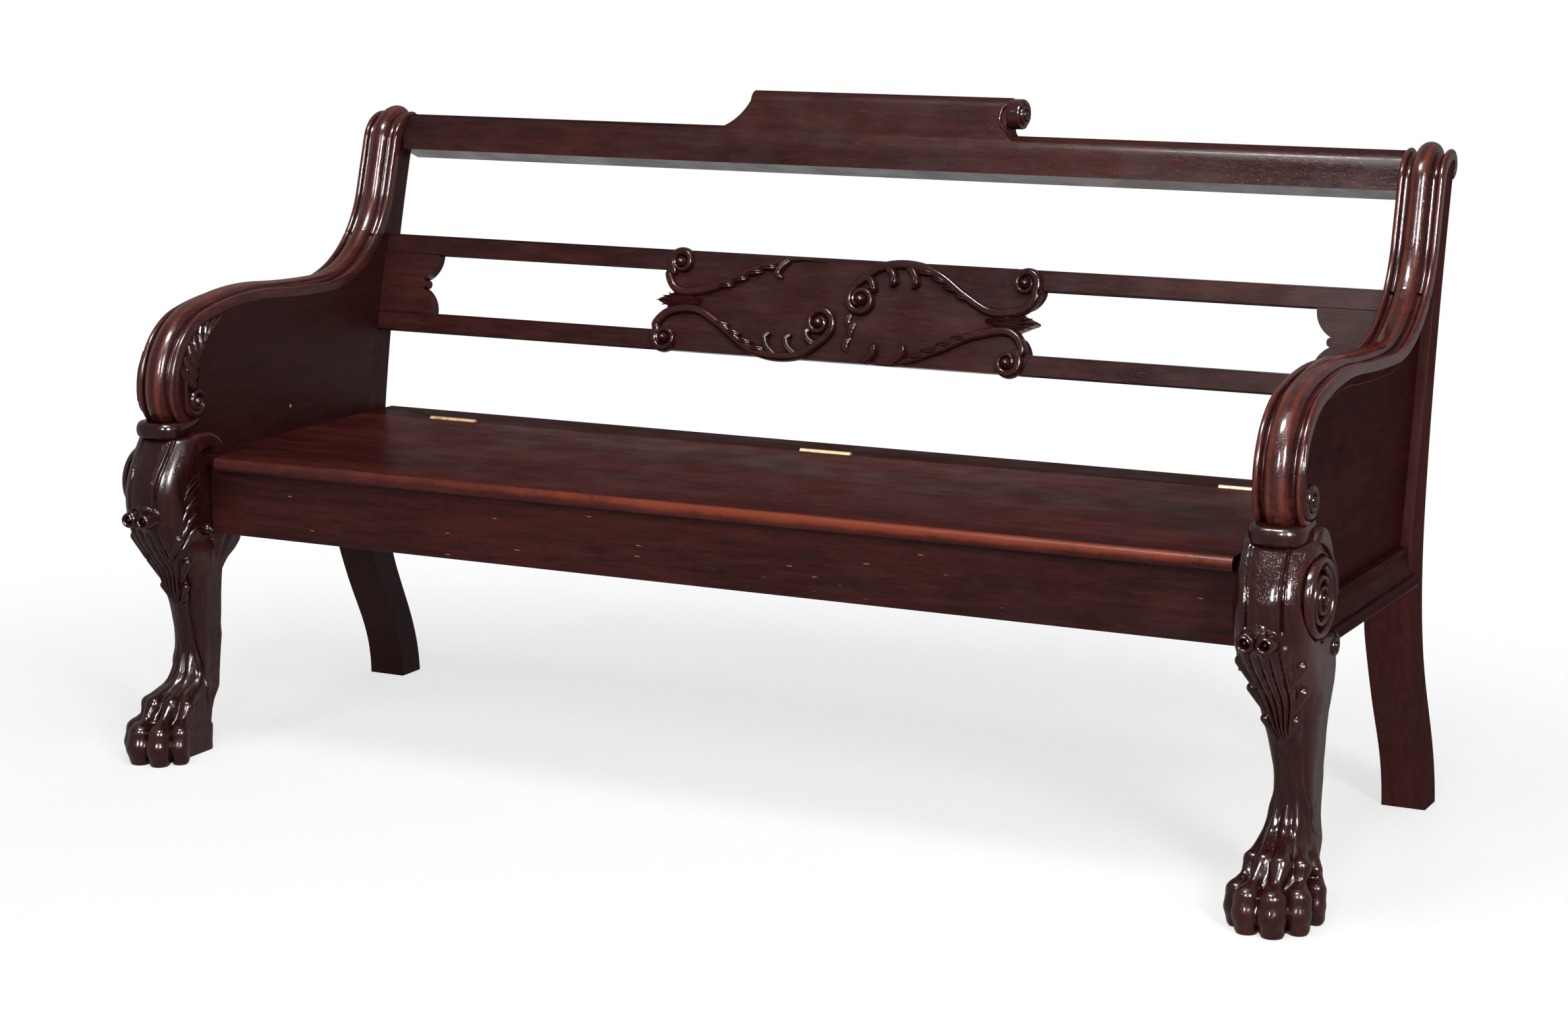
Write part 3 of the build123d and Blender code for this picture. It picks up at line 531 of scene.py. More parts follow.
# A run of arcs (radius, turn in degrees) and lines (None, length) in the YZ plane, from a point and heading
def followRun(start, heading, steps, pitch):
    spots, headings = [np.array([start])], [np.array([heading])]
    spot, angle = np.array(start, float), heading
    for radius, amount in steps:
        length = amount if radius is None else abs(radius * math.radians(amount))
        part = np.linspace(0, 1, max(3, int(length / pitch)) + 1)[1:]
        if radius is None:
            turned = np.full(len(part), angle)
            ahead = np.array([math.cos(math.radians(angle)), math.sin(math.radians(angle))])
            path = spot + part[:, None] * amount * ahead
        else:
            turned = angle + part * amount
            sign = math.copysign(1, amount)
            a, b = math.radians(angle), np.radians(turned)
            path = spot + sign * radius * np.stack([np.sin(b) - math.sin(a), math.cos(a) - np.cos(b)], 1)
        spots.append(path)
        headings.append(turned)
        spot, angle = path[-1], turned[-1]
    return np.concatenate(spots), np.concatenate(headings)


armShape = {"front": (-294.0, 545.0), "footRadius": 65.0, "footTurn": 60.0, "footLevel": 499.0,
            "arm": [(65.0, -60.0), (110.0, -75.0), (467.0, -20.0), (1641.0, 5.0), (178.0, 50.0)],
            "upright": [(178.0, 24.0), (None, 87.0), (48.0, -74.0), (17.0, -180.0)],
            "width": 64.0, "base": 10.0, "bead": 4.4, "torusFoot": 17.5, "torusTop": 14.0, "torusHigh": 12.5,
            "pitch": 4.0}


# The arm's run in (y, z), from its foot to the scarf line, with the heading at each point
def armRun():
    turn, radius = math.radians(armShape["footTurn"]), armShape["footRadius"]
    start = (armShape["front"][0] + radius * (1 - math.cos(turn)), armShape["front"][1] - radius * math.sin(turn))
    return followRun(start, 90.0 + armShape["footTurn"], armShape["arm"], armShape["pitch"])


# Unit vectors square to the headings, up out of the arm
def outwardOf(headings):
    turned = np.radians(headings)
    return np.stack([-np.sin(turned), np.cos(turned)], 1)


# Reeded section across the arm: bead, quirk, cove, fillet, bold torus, and the same again
def reededSection(torusHalf):
    half, bead = armShape["width"] / 2, armShape["bead"]
    turn = np.linspace(math.pi, 0, 13)
    beadArc = np.stack([-half + bead + bead * np.cos(turn), bead * np.sin(turn)], 1)
    part = np.linspace(0, 1, 8)
    coveStart, coveEnd = -half + 2 * bead + 0.8, -torusHalf - 0.7
    cove = np.stack([coveStart + (coveEnd - coveStart) * part, -1.0 - 1.6 * np.sin(math.pi * part)], 1)
    torusTurn = np.linspace(math.pi, math.pi / 2, 17)
    torus = np.stack([torusHalf * np.cos(torusTurn), 1.0 + armShape["torusHigh"] * np.sin(torusTurn)], 1)
    quirk = np.array([[-half + 2 * bead + 0.25, -1.9]])
    fillet = np.array([[-torusHalf - 0.3, 0.8]])
    side = np.array([[-half, -armShape["base"]], [-half, -4.0]])
    left = np.concatenate([side, beadArc, quirk, cove, fillet, torus])
    return np.concatenate([left, left[:-1][::-1] * np.array([-1, 1])])


# Wear across the arm: rubbed on the beads and on both flanks of the torus
def reededWear(section):
    across = np.abs(section[:, 0])
    onBead = np.exp(-((across - armShape["width"] / 2 + armShape["bead"]) / 2.6) ** 2) * (section[:, 1] > 0)
    onTorus = np.exp(-((across - 8.5) / 5.5) ** 2) * (section[:, 1] > 3)
    return np.clip(0.72 * onBead + 0.72 * onTorus, 0, 1)


# The section carried along a run: x = endX + s, (y, z) = path + h * outward; ends closed to a point
def carriedMoulding(spots, headings, torusHalf):
    outward = outwardOf(headings)
    broad, slim = reededSection(armShape["torusFoot"]), reededSection(armShape["torusTop"])
    share = ((armShape["torusFoot"] - torusHalf) / (armShape["torusFoot"] - armShape["torusTop"]))[:, None, None]
    section = broad[None] * (1 - share) + slim[None] * share
    yz = spots[:, None, :] + section[:, :, 1, None] * outward[:, None, :]
    grid = np.concatenate([endX + section[:, :, :1], yz], -1)
    columns = grid.shape[1]
    grid = np.concatenate([grid[:1].mean(1, keepdims=True).repeat(columns, 1), grid,
                           grid[-1:].mean(1, keepdims=True).repeat(columns, 1)])
    mask = np.broadcast_to(reededWear(broad)[None, :], grid.shape[:2])
    return grid, gridFaces(grid.shape[0], columns, wrapColumns=True), mask


def makeArms():
    spots, headings = armRun()
    grid, faces, mask = carriedMoulding(spots, headings, spread((armShape["torusFoot"], 15.5), len(spots)))
    grid[..., 2] = np.maximum(grid[..., 2], armShape["footLevel"])
    grid[-2] = 0.97 * grid[-2] + 0.03 * grid[-1]
    bothSides("arm", grid, faces, mouldedY, "frame", "mahogany", ["arm_moulding"], wear=mask, sharp=50)
    spots, headings = followRun(spots[-1], headings[-1], armShape["upright"], armShape["pitch"] / 2)
    grid, faces, mask = carriedMoulding(spots, headings, spread((15.2, armShape["torusTop"]), len(spots)))
    grid[1] = 0.97 * grid[1] + 0.03 * grid[0]
    bothSides("upright", grid, faces, mouldedZ, "frame", "mahogany", ["upright_moulding"], wear=mask, sharp=50)


makeArms()
print("arms made")

# Carving at the foot of the arm: (y, z) flat on the inner and outer faces
armCarving = {"turnCentre": (-184.0, 545.0), "innerFace": -32.0, "outerFace": 32.0,
              "innerVolute": ((-246.0, 526.0), 26.5), "outerVolute": ((-266.0, 529.0), 27.0), "edge": 98.0,
              "lobes": [(6, 38, 9), (17, 39, 9), (28, 37, 9), (39, 33, 8.5), (50, 27, 7.5), (60, 20, 6), (69, 14, 4.5),
                        (77, 9, 3.2)],
              "innerLead": [(-252, 615), (-265, 580), (-270, 550), (-269, 526)],
              "outerLead": [(-282, 600), (-291, 572), (-293, 548), (-291, 529)]}


# Leaf: overlapping lobes in polar terms about the centre of the arm's front bend, each running in from the bead
# and slanting down to its tip
def leafLobes():
    shape, sheets = armCarving, []
    for turn, length, wide in shape["lobes"]:
        angle = np.radians(turn + np.array([14.0, 8.0, 0.0, -10.0]))
        far = shape["edge"] - length * np.array([0.0, 0.33, 0.7, 1.0])
        line = np.stack([shape["turnCentre"][0] - far * np.cos(angle), shape["turnCentre"][1] + far * np.sin(angle)], 1)
        sheets.append(stroke(smoothPath(line, 30), [0.5 * wide, 0.95 * wide, wide, 0.8 * wide, 0.2 * wide],
                             [3.0, 7.0, 10.0, 10.5, 3.0], columns=15, crease=0.22))
    return sheets


def makeArmCarving():
    sheets = leafLobes()
    centre, radius = armCarving["innerVolute"]
    lead = smoothPath(armCarving["innerLead"], 26)
    sheets.append(stroke(lead, [0.8, 2.4, 3.2, 3.6], [1.0, 4.0, 5.5, 6.0], columns=11))
    sheets += volute(centre, radius, 180.0, 1.6, bead=0.25, high=(6.5, 9.5), eye=0.24)
    inner, innerFaces = onSide(sheets, endX + armCarving["innerFace"], -1)
    centre, radius = armCarving["outerVolute"]
    lead = smoothPath(armCarving["outerLead"], 22)
    sheets = [stroke(lead, [0.8, 2.6, 3.6, 4.2], [0.5, 3.0, 4.0, 5.0], columns=11)]
    sheets += volute(centre, radius, 180.0, 1.7, bead=0.23, high=(5.5, 9.0), eye=0.22)
    outer, outerFaces = onSide(sheets, endX + armCarving["outerFace"], 1)
    points, faces = joinSheets([(inner, innerFaces), (outer, outerFaces)])
    bothSides("arm_foot_carving", points, faces, carvedWood, "frame", "carved_mahogany", sharp=60, bendWear=1.2)


makeArmCarving()
print("arm carving made")

# Collar: a rolled band round the top of the leg, its underside rising to points at the back
collarShape = {"half": 28.0, "front": -306.0, "corner": 20.0, "back": -238.0, "low": 476.5, "high": 501.0,
               "roll": 9.0, "rise": 18.0}


def makeCollars():
    shape = collarShape
    turn = np.linspace(0, math.pi / 2, 14)
    corner = shape["corner"]
    inX, inY = shape["half"] - corner, shape["front"] + corner
    side = np.linspace(shape["back"], inY, 16)[:-1]
    run = np.stack([np.full(15, -shape["half"]), side], 1)
    bend = np.stack([-inX - corner * np.cos(turn), inY - corner * np.sin(turn)], 1)
    flat = np.stack([np.linspace(-inX, 0, 8)[1:], np.full(7, shape["front"])], 1)
    half = np.concatenate([run, bend, flat])
    plan = np.concatenate([half, half[:-1][::-1] * np.array([-1, 1])])
    ahead = np.gradient(plan, axis=0)
    ahead /= np.linalg.norm(ahead, axis=1, keepdims=True)
    outward = np.stack([ahead[:, 1], -ahead[:, 0]], 1)
    behind = np.clip((plan[:, 1] - inY) / (shape["back"] - inY), 0, 1)
    low = shape["low"] + shape["rise"] * behind ** 1.6
    swell = shape["roll"] * (1 - 0.55 * behind ** 2)
    angle = np.linspace(-math.pi / 2, math.pi / 2, 15)
    middle = (low + shape["high"]) / 2
    tall = (shape["high"] - low) / 2
    far = swell[:, None] * np.cos(angle)[None, :] ** 0.8
    height = middle[:, None] + tall[:, None] * np.sin(angle)[None, :]
    ring = np.concatenate([plan[:, None, :] + far[..., None] * outward[:, None, :], height[..., None]], -1)
    inside = plan * np.array([0.0, 1.0])
    first = np.concatenate([inside, low[:, None]], 1)[:, None, :]
    last = np.concatenate([inside, np.full((len(plan), 1), shape["high"])], 1)[:, None, :]
    grid, faces = tubeFrom(np.concatenate([first, ring, last], 1))
    bothSides("leg_collar_rolled", grid + np.array([endX, 0, 0]), faces, carvedWood, "frame", "carved_mahogany",
              ["leg_collar"], sharp=55, bendWear=1.5)


makeCollars()
print("collars made")


# Front legs, in millimetres about x = endX: across positive outward, y and z of the bench.
# A smooth run through (height, value) knots: straight pieces blurred over a short length
def softCurve(knots, blur=22):
    knots = np.array(sorted(knots))
    level = np.arange(-40.0, 560.0)
    value = np.interp(level, knots[:, 0], knots[:, 1])
    window = np.hanning(blur + 2)[1:-1]
    padded = np.pad(value, blur, mode="edge")
    smooth = np.convolve(padded, window / window.sum(), mode="same")[blur:-blur]
    return lambda z: np.interp(z, level, smooth)


def softMin(a, b, k):
    h = np.maximum(k - np.abs(a - b), 0) / k
    return np.minimum(a, b) - h * h * k * 0.25


def softMax(a, b, k):
    return -softMin(-a, -b, k)


def easeIn(value, low, high):
    part = np.clip((value - low) / (high - low), 0, 1)
    return part * part * (3 - 2 * part)


# A tapered rod between two balls
def rod(p, a, b, ra, rb):
    a, b = np.array(a, float), np.array(b, float)
    along = np.clip(((p - a) @ (b - a)) / ((b - a) @ (b - a)), 0, 1)
    return np.linalg.norm(p - a - along[..., None] * (b - a), axis=-1) - (ra + (rb - ra) * along)


# A chain of rods through points with radii
def limb(p, spots, radii, k=6.0):
    field = rod(p, spots[0], spots[1], radii[0], radii[1])
    for i in range(1, len(spots) - 1):
        field = softMin(field, rod(p, spots[i], spots[i + 1], radii[i], radii[i + 1]), k)
    return field


legShape = {
    "front": [(500, -300), (478, -301), (460, -313), (445, -322), (430, -330), (415, -335), (400, -338), (385, -338),
              (372, -337), (355, -332), (340, -325), (325, -315), (300, -295), (285, -281), (270, -272), (255, -268),
              (240, -263), (225, -256), (210, -252), (180, -247), (150, -245), (135, -248), (120, -253), (105, -264),
              (92, -282), (80, -297), (62, -313), (45, -321), (30, -325), (0, -322)],
    "backInner": [(500, -160), (316, -160), (306, -163), (296, -172), (285, -188), (270, -199), (255, -195),
                  (225, -190), (195, -184), (165, -179), (120, -184), (105, -189), (90, -196),
                  (75, -210), (60, -216), (0, -222)],
    "backOuter": [(500, -200), (350, -204), (330, -196), (310, -190), (290, -191), (270, -199), (255, -195),
                  (225, -190), (195, -184), (165, -179), (120, -184), (105, -189), (90, -196),
                  (75, -210), (60, -216), (0, -222)],
    "half": [(500, 48), (340, 50), (315, 47), (285, 43.5), (268, 42), (255, 38), (240, 35.5), (225, 33), (210, 31),
             (195, 28.5), (180, 26), (150, 25), (120, 24.5), (105, 27), (92, 31),
             (78, 33), (60, 33), (45, 32), (30, 31), (0, 31)],
    "shift": [(500, -2), (340, -1), (300, 1), (270, 2.5), (225, 3.5), (180, 5), (0, 5)],
    "scroll": (-264.0, 410.0), "scrollRadius": 51.0, "panelIn": -26.0, "panelOut": 16.5,
    "rows": 330, "columns": 300}
legFront = softCurve(legShape["front"])
legBackInner = softCurve(legShape["backInner"], 10)
legBackOuter = softCurve(legShape["backOuter"], 12)
legHalf = softCurve(legShape["half"])
legShift = softCurve(legShape["shift"])
leafHalf = softCurve([(380, 33), (350, 34), (326, 36), (304, 28), (282, 29), (262, 17), (243, 14), (228, 7), (205, 1),
                      (150, 0)], 8)


# Round-fronted column: a squared-off half round ahead of a box with small back corners
def legColumn(x, y, z, half, corner=6.0):
    front = legFront(z)
    turn = easeIn(x, -25, 20)
    back = legBackInner(z) * (1 - turn) + legBackOuter(z) * turn
    centre = front + half
    power = 2.0 + 0.5 * easeIn(z, 300, 360)
    rounded = (np.abs(x) ** power + np.abs(y - centre) ** power) ** (1 / power) - half
    dx, dy = np.abs(x) - half + corner, y - back + corner
    box = np.hypot(np.maximum(dx, 0), np.maximum(dy, 0)) + np.minimum(np.maximum(dx, dy), 0) - corner
    return np.where(y < centre, rounded, box)


# Relief on the leg's front: tongue panel between quirks, and the leaf that hangs from the knee
def frontRelief(x, y, z):
    ahead = easeIn(-y, 284, 300) * easeIn(z, 374, 380) * easeIn(-z, -480, -474)
    panelHalf = 19.3 + 2.7 * easeIn(z, 390, 474)
    fromMiddle = np.abs(x - 0.8 + 4.8 * easeIn(z, 385, 474))
    ridge = np.exp(-((fromMiddle - panelHalf) / 1.1) ** 2)
    quirk = np.exp(-((fromMiddle - panelHalf - 3.2) / 1.7) ** 2)
    bow = 1.8 * np.sqrt(np.clip(1 - (fromMiddle / panelHalf) ** 2, 0, 1))
    relief = ahead * (2.0 * ridge - 3.0 * quirk + bow)
    facing = easeIn(-y, 226, 246) * easeIn(-z, -366, -352) * easeIn(z, 203, 212)
    reach = np.maximum(leafHalf(z), 0.5)
    across = x / reach
    inside = easeIn(1.06 - np.abs(across), 0, 0.16)
    taper = np.interp(z, [205, 215, 235, 260, 290, 320, 350], [3, 5, 10, 17, 25, 31, 33])
    ribs = np.abs(np.cos(math.pi * 2.5 * np.clip(x / taper, -1.2, 1.2))) ** 0.6
    fan = easeIn(z, 215, 250)
    relief = relief + facing * inside * (1.8 + fan * 5.8 * ribs * (1 - 0.35 * easeIn(z, 325, 352)))
    return relief


# Relief on the leg's sides: hollow and flutes inside, quirk down the shank, tendons above the paw
def sideRelief(x, y, z):
    inner = easeIn(-x, 22, 32)
    scrollFar = np.hypot(y - legShape["scroll"][0], z - legShape["scroll"][1])
    ground = easeIn(legShape["scrollRadius"] + 3 - scrollFar, 0, 3) * easeIn(x, 20, 30)
    bandEdge = np.interp(z, [285, 312, 344, 372, 396, 411, 426, 437, 453, 459],
                         [-292, -298, -303, -303, -299, -294, -287, -280, -266, -247])
    hollow = easeIn(y - bandEdge, 0, 6) * easeIn(-y, 222, 228) * easeIn(z, 296, 330) * easeIn(-z, -461, -452)
    relief = -12.0 * hollow * inner - 5.0 * ground
    angle = np.arctan2(y + 222, z - 258)
    rise = np.hypot(y + 222, z - 258)
    fluted = easeIn(rise, 22, 44) * easeIn(-np.abs(angle - 0.18), -0.62, -0.5) * easeIn(-z, -331, -327)
    relief = relief + inner * fluted * 2.8 * np.abs(np.sin(angle * 8.6 + 0.4)) ** 0.8
    groove = np.interp(z, [40, 137, 179, 233, 287, 330], [-232, -233, -238, -251, -268, -290])
    onShank = easeIn(np.abs(x), 10, 18) * easeIn(-z, -300, -270) * easeIn(z, 62, 100) * (0.3 + 0.7 * easeIn(-x, 6, 14))
    relief = relief + onShank * (2.6 * easeIn(groove - y, -1.0, 5.0) - 4.0 * np.exp(-((y - groove) / 2.6) ** 2))
    narrow = 1.0 - 0.45 * easeIn(z, 95, 170)
    tendon = np.abs(np.cos(math.pi * np.clip(x / (26 * narrow), -1.5, 1.5) * 1.5)) ** 1.5
    fade = easeIn(z, 82, 100) * easeIn(-z, -172, -125) * easeIn(-y, 205, 228)
    return relief + 3.4 * tendon * fade


# Paw toes: tip across, tip y, tip radius, knuckle, knuckle radius, and where the tendon meets the ankle
pawShape = {"toes": [(-36, -312, 16, (-27, -279, 76), 12, (-12, -236)),
                     (-16, -334, 18.5, (-8, -291, 79), 13, (-6, -250)),
                     (17, -336, 19, (16, -300, 80), 13.5, (8, -254)),
                     (42, -312, 17, (37, -284, 76), 12.5, (18, -246)),
                     (50, -268, 13, (45, -255, 66), 9, (26, -226))],
            "heel": ((4.0, 29.0), (-246.0, 27.0), 36.0)}


# Paw: each toe is a chain of tendon, knuckle, narrow joint and egg-shaped tip; behind them a plain heel block
def pawField(p):
    field = np.full(p.shape[:-1], 200.0)
    low = p[..., 2] < 150
    q = p[low]
    if not len(q):
        return field
    (heelX, heelHalf), (heelY, heelDeep), heelTop = pawShape["heel"]
    deepOrHigh = np.maximum(np.abs(q[:, 1] - heelY) - heelDeep, q[:, 2] - heelTop)
    paw = np.maximum(np.abs(q[:, 0] - heelX) - heelHalf, deepOrHigh)
    for across, y, tip, knuckle, swell, ankle in pawShape["toes"]:
        joint = (0.5 * (across + knuckle[0]), y + 18, 61)
        toe = limb(q, [(*ankle, 106), knuckle, joint, (across, y + 4, 44), (across, y, 25), (across, y + 3, 9)],
                   [4.0, swell, 0.36 * tip, 0.92 * tip, tip, 0.86 * tip], 2.0)
        paw = softMin(paw, toe, 2.0)
    field[low] = paw * 0.8
    return field


# Carving set on the leg: scroll and small roll outside, eyes on the knee, leaf in the hollow inside
legCarving = {"scrollFace": 45.5, "kneeFace": -346.0, "eyes": (-17.5, 8.5), "eyeRing": 10.4, "eyeLevel": 366.0,
              "hollowFace": -38.0, "rollFace": 47.0, "rollSpot": (-207.0, 339.0), "rollRadius": 17.0,
              "hooks": [((22, -300, 300), (39, -302, 331), 8.0), ((17, -270, 262), (33, -276, 292), 7.2),
                        ((8, -258, 228), (20, -264, 252), 6.0)],
              "whorl": [(-264, 478), (-246, 469), (-228, 453), (-212, 428), (-207, 403)],
              "leaf": [([(-307, 345), (-301, 376), (-285, 402), (-256, 415)], 1.0),
                       ([(-305, 337), (-294, 366), (-274, 387), (-254, 390)], 0.9),
                       ([(-302, 328), (-287, 352), (-269, 365), (-253, 363)], 0.8),
                       ([(-298, 318), (-281, 338), (-266, 345), (-252, 340)], 0.65)],
              "leafCurl": ((-241, 337), 9.0)}


def legField(p):
    y, z = p[..., 1], p[..., 2]
    x = p[..., 0] - legShift(z)
    half = legHalf(z)
    cy, cz = legShape["scroll"]
    column = legColumn(x, y, z, half)
    # outside, the block behind the scroll is cut in to the panel's face, along the scroll's outline
    dy, dz = y - cy, z - cz
    far = np.hypot(dy, dz)
    lift = easeIn(np.arctan2(dz, np.maximum(dy, 1e-3)), 0, math.pi / 2)
    outline = legShape["scrollRadius"] + 1 + 38.0 * lift
    beyond = np.where(dy > 0, far - outline, np.where(dz > 0, dz - 91, -40.0))
    cut = np.minimum(beyond, np.minimum(x - legShape["panelOut"], z - 353))
    column = softMax(column, cut, 4.0)
    # above the seat the block stops short, behind the arch, inside the panel
    rounded = (np.hypot(np.maximum(y + 245, 0) / 46, (z - 440) / 42) - 1) * 42
    arch = np.minimum(rounded, z - 441)
    inside = np.minimum(arch, -x + legShape["panelIn"])
    column = softMax(column, inside, 6.0)
    relief = frontRelief(x, y, z) + sideRelief(x, y, z)
    field = (column - relief) * 0.6
    shoulder = z - 480 - 18 * easeIn(y, -276, -248)
    field = softMax(field, shoulder * 0.8, 7.0)
    for start, tip, size in legCarving["hooks"]:
        for hand in (-1, 1):
            turned = np.array([hand, 1, 1])
            field = softMin(field, 0.8 * rod(p, np.array(start) * turned, np.array(tip) * turned, 3.0, size), 1.5)
    for across in legCarving["eyes"]:
        field = softMin(field, 0.8 * rod(p, (across, -318, 367), (across, -337, 366), 13.5, 12.5), 3.0)
    lump = limb(p, [(-4.5, -334, 372), (-4.5, -334, 360), (-4.5, -320, 344)], [12, 11, 3])
    field = softMin(field, lump * 0.8, 6.0)
    return softMin(field, pawField(p), 6.0)


# The leg as a grid of height by angle: each point is the first hit of a ray coming in towards the spine
def makeLegs():
    rows, columns = legShape["rows"], legShape["columns"]
    low = np.concatenate([np.linspace(0.0, 112.0, 118)[:-1], np.linspace(112.0, 205.0, 40)[:-1],
                          np.linspace(205.0, 500.0, rows - 156)])
    part = np.linspace(0, 2 * math.pi, columns, endpoint=False)
    angle = part + 0.35 * np.sin(part)
    spineY = np.interp(low, [0, 60, 110, 150, 230, 290, 340, 500], [-268, -262, -236, -217, -224, -240, -256, -262])
    z, a = np.meshgrid(low, angle, indexing="ij")
    middle = np.broadcast_to(spineY[:, None], z.shape)
    dx, dy = np.sin(a), np.cos(a)
    reach = np.full(z.shape, 160.0)
    for _ in range(64):
        step = legField(np.stack([reach * dx, middle + reach * dy, z], -1))
        reach = np.maximum(reach - np.clip(step, -1.5, 12.0), 4.0)
        if np.abs(step).max() < 0.04:
            break
    print("leg rays settled to", round(float(np.percentile(np.abs(step), 99)), 3), "mm")
    grid = np.stack([endX + reach * dx, middle + reach * dy, z], -1)
    capLow, capHigh = grid[:1].copy(), grid[-1:].copy()
    for cap, y in ((capLow, spineY[0]), (capHigh, spineY[-1])):
        cap[..., 0] = endX
        cap[..., 1] = y
    grid = np.concatenate([capLow, grid, capHigh])
    bothSides("front_leg_carved", grid, gridFaces(len(grid), columns, wrapColumns=True), carvedWood, "frame",
              "carved_mahogany", ["front_leg"], sharp=60, bendWear=4.0)


makeLegs()
print("legs made")


def makeLegCarving():
    shape = legCarving
    centre, radius = legShape["scroll"], legShape["scrollRadius"]
    rim = spiralPath(centre, radius - 5, radius - 5, 0.0, 1.0, 90)
    sheets = [stroke(rim, [5.4, 5.4], [8.0, 8.0], columns=13)]
    sheets += volute(centre, radius - 9, 80.0, -2.6, bead=0.105, high=(6.0, 10.0), eye=0.12, count=190)
    whorl = smoothPath(shape["whorl"], 24)
    sheets.append(stroke(whorl, [1.0, 3.0, 3.4, 3.4, 2.6], [4.0, 6.5, 7.0, 7.0, 7.0], columns=11))
    parts = [onSide(sheets, endX + shape["scrollFace"], 1)]
    roll = volute(shape["rollSpot"], shape["rollRadius"], 90.0, -1.6, bead=0.22, high=(4.0, 6.0), eye=0.22, count=60)
    roll.append(boss(shape["rollSpot"], shape["rollRadius"] - 1, 2.5, sink=-34.0))
    parts.append(onSide(roll, endX + shape["rollFace"], 1))
    for hand, across in zip((-1, 1), shape["eyes"]):
        spot = (across, shape["eyeLevel"])
        ring = spiralPath(spot, shape["eyeRing"], shape["eyeRing"] - 3.4, 90.0, hand * 1.25, 56)
        eye = [stroke(ring, [4.4, 4.8, 4.2], [11.0, 13.0, 14.0], columns=13, sink=-12.0),
               boss(spot, 4.4, 11.0, sink=-14.0)]
        parts.append(onPlane(eye, (endX, shape["kneeFace"], 0), (1, 0, 0), (0, 0, 1), (0, -1, 0)))
    leaf = []
    for spots, wide in shape["leaf"]:
        line = np.array(spots, float)
        for drop, share in ((0.0, 1.0), (-8.5 * wide, 0.8), (7.0 * wide, 0.6)):
            shifted = smoothPath(line + np.array([0.5 * abs(drop), drop]) * np.array([[0.1], [0.6], [1.0], [0.9]]), 26)
            leaf.append(stroke(shifted, [2, 6.5 * wide * share, 7 * wide * share, 4 * wide * share, 1.0],
                               [6, 10 * share, 12 * share, 11 * share, 5], columns=11))
    leaf += volute(*shape["leafCurl"], 90.0, 1.4, bead=0.34, high=(11.0, 14.0), eye=0.3, count=44)
    parts.append(onSide(leaf, endX + shape["hollowFace"], -1))
    points, faces = joinSheets(parts)
    bothSides("front_leg_scrolls", points, faces, carvedWood, "frame", "carved_mahogany", sharp=60, bendWear=1.2)


makeLegCarving()
print("leg carving made")

# Centre panel of the back: its plane, outline of one end (the other is turned half round) and the carving
backPlane = {"origin": (0.0, 172.0, 382.0), "up": (0.0, 0.2431, 0.97), "out": (0.0, -0.97, 0.2431), "thick": 20.0,
             "middle": 275.25, "halfTall": 76.25}
splatCarving = {
    "turnAbout": (-4.0, -1.0),
    "end": [(-262, 76.2), (-284, 76.2), (-297, 68), (-304, 54), (-304, 40), (-296, 25), (-283, 15), (-297, 7),
            (-313, -1), (-297, -9), (-285, -15), (-303, -23), (-315, -37), (-318, -51), (-313, -66), (-303, -76.2)],
    "upperEye": (-276.0, 58.0), "lowerEye": (-293.0, -58.0), "middleEye": (-36.0, -20.0),
    "upperStem": [(-297, 40), (-286, 20), (-262, 13), (-214, 24), (-166, 46), (-114, 67), (-76, 72), (-38, 70)],
    "lowerStem": [(-309, -36), (-288, -18), (-244, -13), (-200, -34), (-156, -62), (-110, -74), (-64, -69), (-30, -46)],
    "upperFronds": [[(-96, 70), (-108, 60), (-112, 48), (-104, 42)]],
    "lowerFronds": [[(-104, -73), (-117, -62), (-122, -48), (-115, -40)],
                    [(-70, -70), (-83, -60), (-87, -48), (-80, -41)],
                    [(-38, -54), (-50, -47), (-55, -37), (-48, -30)]],
    "upperLeaf": [(-226, 21), (-190, 34), (-150, 53), (-112, 66)],
    "lowerLeaf": [(-222, -24), (-186, -42), (-150, -62), (-118, -73)],
    "tips": [((-316, -1), 0.0), ((-306, 6), 4.5), ((-306, -8), -4.5), ((-296, 11), 8.0), ((-296, -12), -8.0)],
    "spareFrond": [(-50, 71), (-61, 62), (-66, 50), (-58, 43)],
    "gapFronds": [[(14, -4), (8, -14), (10, -26)], [(22, -18), (14, -28), (16, -40)], [(16, -40), (8, -50), (12, -62)]]}


